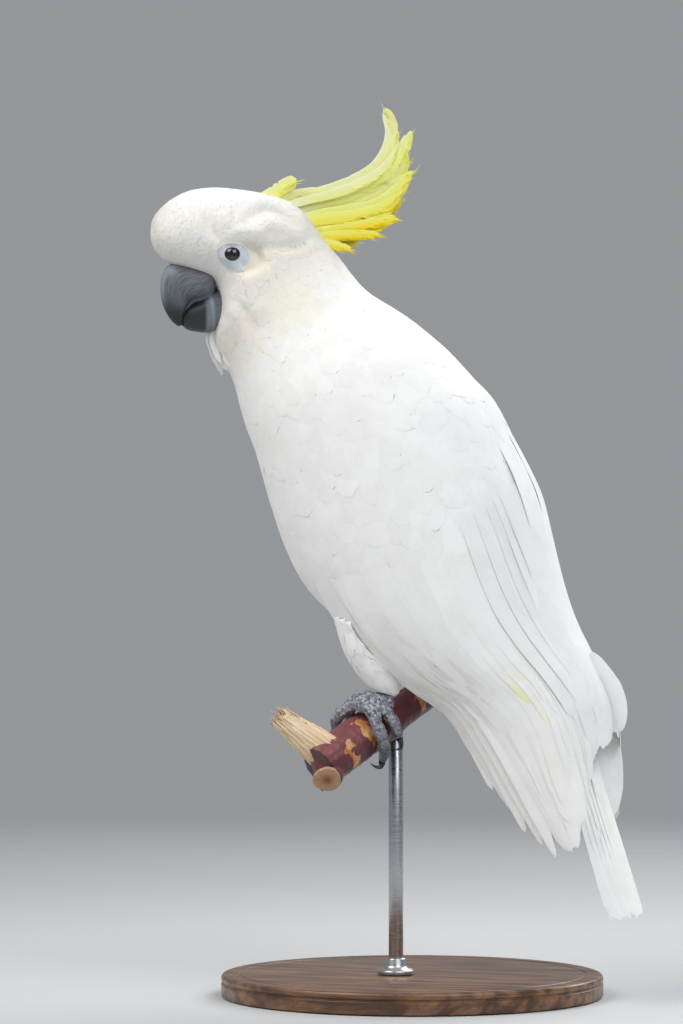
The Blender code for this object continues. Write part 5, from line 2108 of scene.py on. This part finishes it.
@dataclass
class Foot:
    """One zygodactyl foot gripping the branch: two toes forward, two back."""

    side: str
    line: PerchLine
    stand: float
    toe: float = 3.9
    claw: float = 1.9
    voxel: float = 0.45 * MM
    scale: float = 1.25 * MM      # width of a modelled scale
    toes: Sequence[Tuple[str, float, float]] = (  # name, its claw's angle and place along
        ("inner_front", 96.0, -9.0), ("outer_front", 118.0, 1.5),
        ("outer_back", -128.0, -7.5), ("inner_back", -92.0, 4.0))

    def flesh(self, finish: Mat) -> None:
        """Toes, sole and shank with pads, joint folds and modelled scales.

        Args:
            finish: The finish.
        """
        name = f"foot_{self.side}"
        ob = copy_of([name], f"{name}_scaly")
        remesh(ob, self.voxel)
        smooth(ob, 3)
        co, normal = verts_of(ob), normals_of(ob)
        _, t, angle, radius = self.line.coords(co)
        outer = ease(0.0, 4.5, radius - self.line.thick(t) - 1.0)
        joints, folds = (sum(bell(np.abs(angle), k, width) for k in places) * outer
                         for width, places in ((7.0, (38, 66, 94)), (2.6, (52, 80, 107))))
        gaps = np.array([noise.voronoi(Vector(p) * (1 / self.scale))[0][:2] for p in co])
        scales = np.minimum((gaps[:, 1] - gaps[:, 0]) / 0.35, 1.0)
        rise = (0.45 * joints - 0.55 * folds + 0.26 * (scales - 0.5) * (0.3 + outer)
                + 0.2 * noise_at(co, 6 * MM, 2, 4.0))
        set_verts(ob, co + normal * (rise * outer)[:, None] * MM)
        dress(ob, finish, [name])

    def claws(self, finish: Mat) -> None:
        """The four curved claws with their rounded bases.

        Args:
            finish: The finish.
        """
        sign, made = 1 if self.side == "left" else -1, []
        c, w = (f(circle(16))[:, None] for f in (np.cos, np.sin))
        for name, end, spread in self.toes:
            t, way = self.stand + sign * spread, math.copysign(1, end)
            high = float(self.line.thick(t)) + self.toe + 1.6
            v = np.linspace(0, 1, 18)
            pts = np.array([self.line.at(t, end + way * (6.0 + 34.0 * k),
                                         high - 1.8 * k + 2.2 * math.sin(math.pi * k))
                            for k in v])
            radii = np.maximum(self.claw * (1 - v / 1.04) ** 0.8 * (1 + 0.1 * np.exp(-v * 20)),
                               0.2) * MM
            run = unit(np.gradient(pts, axis=0))
            side = unit(np.cross(run, self.line.run))
            made.append(lofted(f"claw_{name}", [
                p + (s * c + q * w * 0.85) * r
                for p, s, q, r in zip(pts, side, np.cross(side, run), radii)]))
        dress(join(f"claws_{self.side}", made), finish,
              [f"claw_{self.side}_{toe[0]}" for toe in self.toes])


@dataclass
class Perch:
    """The cut branch: bark, pruned stub and the splintered broken end."""

    line: PerchLine
    stub_at: float = 7.0
    worn: Sequence[Row] = (       # distance along, degrees from the top, length and width
        (-27, -58, 2.6, 30), (-25, -96, 2.8, 22), (-10, -38, 3.4, 26), (-7, -72, 3.6, 24),
        (-18, 100, 3.0, 26), (22, 60, 2.6, 28), (34, -66, 3.6, 34), (52, 110, 4.0, 18),
        (24, 165, 3.4, 24))
    torn: Sequence[Row] = ((-51.5, 138.6, 56), (-75.5, 157.0, 66))    # u, z, left of its ends
    torn_size: Tuple[float, float] = (10.6, 6.6)
    narrow: float = 0.46          # how much the torn end narrows to its tip
    splinter_count: int = 64

    def __post_init__(self) -> None:
        """Find where the stub stands on the branch and the direction that it faces."""
        a = math.radians(VIEW_TURN)
        self.stub = self.line.run * (self.line.start + self.stub_at)
        self.stub_out = unit(np.array([math.sin(a) * 0.83, -math.cos(a) * 0.83, -0.55]))

    def bark(self, finish: Mat) -> None:
        """The branch and its stub with knots, wrinkles and worn patches.

        Args:
            finish: The finish.
        """
        line = self.line
        ob = copy_of(["perch"], "perch_bark")
        co = verts_of(ob)
        rel, t, _, radius = line.coords(co)
        old = unit(-line.up * 0.62 - line.ahead * 0.60 - line.run * 0.50)
        high = ((rel - self.stub) @ old)[:, None]
        cut = (radius > 14.8) & (t < line.start + 22) & (high[:, 0] > 9.0)
        turn = np.array(Vector(old).rotation_difference(Vector(self.stub_out)).to_matrix())
        new = self.stub + (rel - self.stub - high * old) * 1.18 @ turn.T + self.stub_out * high
        set_verts(ob, np.where(cut[:, None], (new + np.array(line.foot)) * MM, co))
        remesh(ob, 0.7 * MM)
        smooth(ob, 7)
        co, normal = verts_of(ob), normals_of(ob)
        _, t, angle, _ = line.coords(co)
        worn, slip = np.zeros(len(co)), 3.4 * noise_at(co, 6 * MM, 3, 5.0)
        drift = 26 * noise_at(co, 7 * MM, 3, 8.0)
        for at, side, long, wide in self.worn:
            gap = (angle - side + drift + 180) % 360 - 180
            worn = np.maximum(worn, bell(t + slip, at, long) * bell(gap, 0, wide))
        worn *= 0.68 + 0.32 * noise_at(co, 4 * MM, 3, 2.0)
        body = (noise_at(co, 16 * MM, 3, 1.0) * 0.45 + noise_at(co, 3 * MM, 2) * 0.12
                + 0.10 * np.sin(t * 1.3 + 2 * np.sin(angle / 40)) - 0.3 * worn)
        body *= ease(line.start, line.start + 2, t)
        set_verts(ob, co + normal * body[:, None] * MM * 0.7)
        # Painted light and shade: the upper side lighter and the underside darker.
        store(ob, worn=np.clip(worn * 1.1, 0, 1),
              upward=np.clip(0.5 + 0.75 * normal[:, 2], 0, 1))
        dress(ob, finish, ["perch"])

    def stub_face(self, finish: Mat) -> None:
        """The sawn face of the stub, with its darker heart.

        Args:
            finish: The finish.
        """
        n, turn, out = 48, circle(48), self.stub_out
        c = (np.array(self.line.foot) + self.stub + out * 16.9) * MM
        a = unit(np.cross(out, UP))
        spokes = a * np.cos(turn)[:, None] + np.cross(out, a) * np.sin(turn)[:, None]
        rough = 1 + 0.03 * np.sin(turn * 3 + 1) + 0.015 * np.sin(turn * 11)
        rings, deep = [], []
        for r in (7.5, 7.6, 7.2, 6.0, 4.8, 3.6, 2.4, 1.4, 0.5):
            h = (0.1 if r == 7.6 else 0.45) + 0.12 * math.sin(r * 3.0) if rings else -1.4
            rings.append(c + (out * h + spokes * (r * rough)[:, None]) * MM)
            deep += [0.62 + 0.34 * float(bell(r, 0, 3.4))] * n
        ob = lofted("perch_stub_face", rings, weld=1e-9)
        map_uv(ob, Grain=self.grain(n, len(rings)))
        store(ob, deep=deep + [0.4, 0.85])
        dress(ob, finish)

    def grain(self, n: int, rings: int) -> Arr:
        """Fibre map of a lofted piece: round it, and from ring to ring."""
        return np.array([(j / n, i / rings) for i in range(rings) for j in range(n)]
                        + [(0, 0), (0, 1)])

    def splinters(self, finish: Mat) -> None:
        """Bundles of torn fibres that fill the broken end.

        Args:
            finish: The finish.
        """
        root, tip = (place(u + left * math.sin(math.radians(VIEW_TURN)), z, left, 0)
                     for u, z, left in self.torn)
        length, t = float(np.linalg.norm(tip - root)), unit(tip - root)
        side = unit(np.cross(t, LEFT))
        lift = np.cross(side, t)
        rng, n, turn = np.random.default_rng(SEED), 90, circle(90)
        wide, high = self.torn_size
        spokes = (side * np.cos(turn)[:, None] * wide + lift * np.sin(turn)[:, None] * high) * MM
        jag = rng.uniform(0.70, 1.0, n) * 0.6 + np.roll(rng.uniform(0.70, 1.0, n), 1) * 0.4
        rings, core_deep = [], []
        for v in np.linspace(0, 1, 18):
            size = (1 - self.narrow * v) * (1 + 0.05 * np.sin(turn * 9 + 2 * v)
                                            + 0.035 * np.sin(turn * 23) + rng.normal(0, 0.016, n))
            rings.append(root - t * 7 * MM * (1 - v) + spokes * size[:, None]
                         + t * (length * v * (1 - (1 - jag) * v))[:, None])
            core_deep += list(0.30 * (1 - v) * (0.5 + 0.5 * np.sin(turn * 9 + 5 * v)))
        for f in (0.85, 0.65, 0.45, 0.25, 0.1):
            rings.append(root + spokes * (1 - self.narrow) * f
                         + t * (length * rng.uniform(0.62, 0.94, n))[:, None])
            core_deep += [0.35] * n
        core = lofted("perch_torn_core", rings, weld=1e-9)
        map_uv(core, Grain=self.grain(n, len(rings)))
        store(core, deep=core_deep + [0.0, 0.3])
        points, uv, deep, faces = [], [], [], []
        for k in range(self.splinter_count):
            a, r = rng.uniform(0, FULL), math.sqrt(rng.uniform(0.3, 1.0))
            first = rng.uniform(0.35, 0.75)
            reach = rng.uniform(0.18, 0.40) * length
            thick, flat = rng.uniform(0.5, 1.2), rng.uniform(0.4, 0.9)
            spin = rng.uniform(0, math.pi)
            e1 = side * math.cos(spin) + lift * math.sin(spin)
            lean = side * math.cos(a) * rng.uniform(-0.5, 0.06) + lift * math.sin(a) * 0.05
            foot = (root + t * length * first
                    + (side * math.cos(a) * (wide - 0.4) + lift * math.sin(a) * (high - 0.4))
                    * r * (1 - self.narrow * first) * MM)
            q = circle(5)[:, None]
            ring = e1 * np.cos(q) + np.cross(t, e1) * np.sin(q) * flat
            for v in np.linspace(0, 1, 5):
                points.append(foot + unit(t + lean) * reach * v
                              + ring * (thick * (1 - 0.9 * v) + 0.06) * MM)
                uv += [(j / 5 + k * 0.37, v + k * 0.21) for j in range(5)]
                deep += [0.15 * rng.random()] * 5
            ends = [tuple(range(4, -1, -1)), tuple(range(20, 25))]
            faces += [tuple(i + k * 25 for i in f) for f in belt(5, 5) + ends]
        ob = mesh_object("perch_splinters", np.concatenate(points), faces, smooth=False,
                         turn_out=True)
        map_uv(ob, Grain=uv)
        store(ob, deep=deep)
        dress(join("perch_splinters", [core, ob]), finish, ["perch_torn_end"])


@dataclass
class Stand:
    """Turned walnut base, steel rod and collar that hold the perch, in mm."""

    radius: float = 105.0
    thick: float = 12.0
    rod: float = 4.0
    collar: float = 10.0

    def turned(self, node_name: str, how: str, profile: Path, n: int) -> Obj:
        """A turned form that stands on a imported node's own upright axis.

        Args:
            node_name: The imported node.
            how: End of the new piece's name.
            profile: Its radius and height pairs, mm.
            n: Points round it.

        Returns:
            The closed form.
        """
        lo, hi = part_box(node_name)
        x, y = (lo.x + hi.x) / 2, (lo.y + hi.y) / 2
        turn = circle(n)
        return lofted(f"{node_name}_{how}", [
            np.stack([x + np.cos(turn) * r * MM, y + np.sin(turn) * r * MM,
                      np.full(n, z * MM)], 1) for r, z in profile])

    def build(self, wood: Mat, steel: Mat) -> None:
        """Turn the base, the rod and its collar.

        Args:
            wood: Finish of the base.
            steel: Finish of the rod and the collar.
        """
        r, h, rod, c = self.radius, self.thick, self.rod, self.collar
        edge = [(r - 2.0 + 2.0 * math.sin(a), h - 2.0 + 2.0 * math.cos(a))
                for a in np.linspace(math.pi / 2, 0, 7)]
        base = [(10.0, 0.0), (r - 1.2, 0.0), (r - 0.4, 0.3), (r, 1.0), (r, h - 5.2),
                (r - 0.9, h - 4.6), (r - 0.9, h - 4.0), (r, h - 3.4)] + edge
        base += [(r - 9.0, h), (r - 9.6, h - 0.5), (r - 10.4, h - 0.5), (r - 11.0, h), (10.0, h)]
        ob = self.turned("stand_base", "turned", base, 128)
        apply_modifier(ob, "BEVEL", width=0.15 * MM, segments=2, limit_method="ANGLE",
                       angle_limit=math.radians(35))
        dress(ob, wood, ["stand_base"])
        lo, hi = (c.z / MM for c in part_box("stand_rod"))
        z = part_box("stand_collar")[0].z / MM
        for name, how, n, profile in (
                ("stand_rod", "drawn", 48, ((rod - 0.4, lo), (rod, lo + 0.4), (rod, hi - 0.4),
                                            (rod - 0.4, hi))),
                ("stand_collar", "turned", 64, (
                    (c - 0.4, z), (c, z + 0.4), (c, z + 2.1), (c - 0.5, z + 2.6),
                    (c - 3.4, z + 3.4), (c - 4.3, z + 5.0), (c - 4.6, z + 8.2),
                    (c - 4.9, z + 8.8), (rod + 0.1, z + 9.0)))):
            dress(self.turned(name, how, profile, n), steel, [name])


# ---------------------------------------------------------------- studio

@dataclass
class Studio:
    """Floor, soft lights and camera."""

    target: Tuple[float, float, float] = (-0.0365, -0.0133, 0.2657)
    distance: float = 2.5
    frame_height: float = 0.5632
    world: str = "#B3B6BA"
    lights: Sequence[Tuple[str, Tuple[float, float, float], float, float, str]] = (
        ("key", (-1.05, -1.15, 2.05), 1.5, 34.0, "#FFFDF8"),
        ("fill", (1.35, -1.15, 1.75), 1.5, 24.0, "#F8FAFF"),
        ("back", (0.8, 1.6, 1.6), 1.4, 30.0, "#FFFFFF"))

    def aim(self, name: str, data: Any, spot: Vector) -> Obj:
        """Stand a light or the camera at a spot, turned to the bird.

        Args:
            name: Object's name.
            data: The light or the camera.
            spot: Where it stands, metres.

        Returns:
            The object.
        """
        ob = bpy.data.objects.new(name, data)
        ob.location = spot
        ob.rotation_euler = (Vector(self.target) - spot).to_track_quat("-Z", "Y").to_euler()
        bpy.context.scene.collection.objects.link(ob)
        return ob

    def build(self, paper: Mat) -> None:
        """Set the floor, lights, background and camera.

        Args:
            paper: The floor's finish.
        """
        turn = circle(96)
        ob = lofted("floor", [np.stack([np.cos(turn) * 2.4, np.sin(turn) * 2.4,
                                        np.full(96, z)], 1) for z in (-0.0005, -0.003)])
        ob.data.materials.append(paper)
        for name, spot, size, power, tone in self.lights:
            data = bpy.data.lights.new(name, "AREA")
            data.size, data.energy, data.color = size, power, srgb(tone)[:3]
            self.aim(name, data, Vector(spot))
        world = bpy.data.worlds.new("studio")
        world.use_nodes = True
        sky = next(n for n in world.node_tree.nodes if n.type == "BACKGROUND")
        sky.inputs["Color"].default_value = srgb(self.world)
        sky.inputs["Strength"].default_value = 0.66
        scene = bpy.context.scene
        scene.world = world
        scene.view_settings.view_transform = "Standard"
        cam = bpy.data.cameras.new("camera")
        cam.sensor_width = 36.0
        cam.lens = 36.0 * self.distance / self.frame_height
        cam.clip_start, cam.clip_end = 0.05, 50.0
        a = math.radians(VIEW_TURN)
        back = Vector((math.sin(a), -math.cos(a), 0.0))
        scene.camera = self.aim("camera", cam, Vector(self.target) + back * self.distance)


# ---------------------------------------------------------------- assembly

def main() -> None:
    """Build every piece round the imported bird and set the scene."""
    logging.basicConfig(level=logging.INFO, format="%(name)s %(message)s")
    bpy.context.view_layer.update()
    outline, tail, branch = Outline(), TailLine(), PerchLine()
    skin_maker = Skin(outline, tail)
    skin = skin_maker.build()
    bare = Plumage(name="powdery_white_down", vane=False).make()
    vane = Plumage().make()
    Coat(skin, vane).build()
    for k, side in enumerate(("left", "right")):
        wing = WingFeathers(outline, side, shorten=0.9 * k)
        dress(wing.build(skin), vane, [f"wing_{side}"])
    dress(TailFeathers(tail).build(skin), vane, ["tail"])
    dress(Crest(plumes=CHIN, between=1, barbs=0, name="chin_feathers").build(skin), vane)
    plume = Plumage(name="lemon_crest_keratin", white="#F6F8E6", shade="#E9EBC2").make()
    dress(Crest().build(skin), plume, [f"crest_feather_{k}" for k in range(1, 9)])
    horn, glaze, ring = Horn().make(), EyeGlaze().make(), BareSkin().make()
    for which in ("upper", "lower"):
        Bill().half(horn, which)
    for side in ("left", "right"):
        eye = Eye(side)
        eye.globe(glaze)
        eye.lids(skin, ring)
    scaly, claw = ScalySkin().make(), Claw().make()
    for side, stand in (("left", 0.0), ("right", 50.0)):
        foot = Foot(side, branch, stand)
        foot.flesh(scaly)
        foot.claws(claw)
    perch, raw = Perch(branch), RawWood().make()
    perch.bark(Bark().make())
    perch.stub_face(raw)
    perch.splinters(raw)
    Stand().build(OiledWalnut().make(), BrushedSteel().make())
    dress(skin, bare, list(skin_maker.flesh))
    Studio().build(StudioFloor().make())


if __name__ == "__main__":
    main()
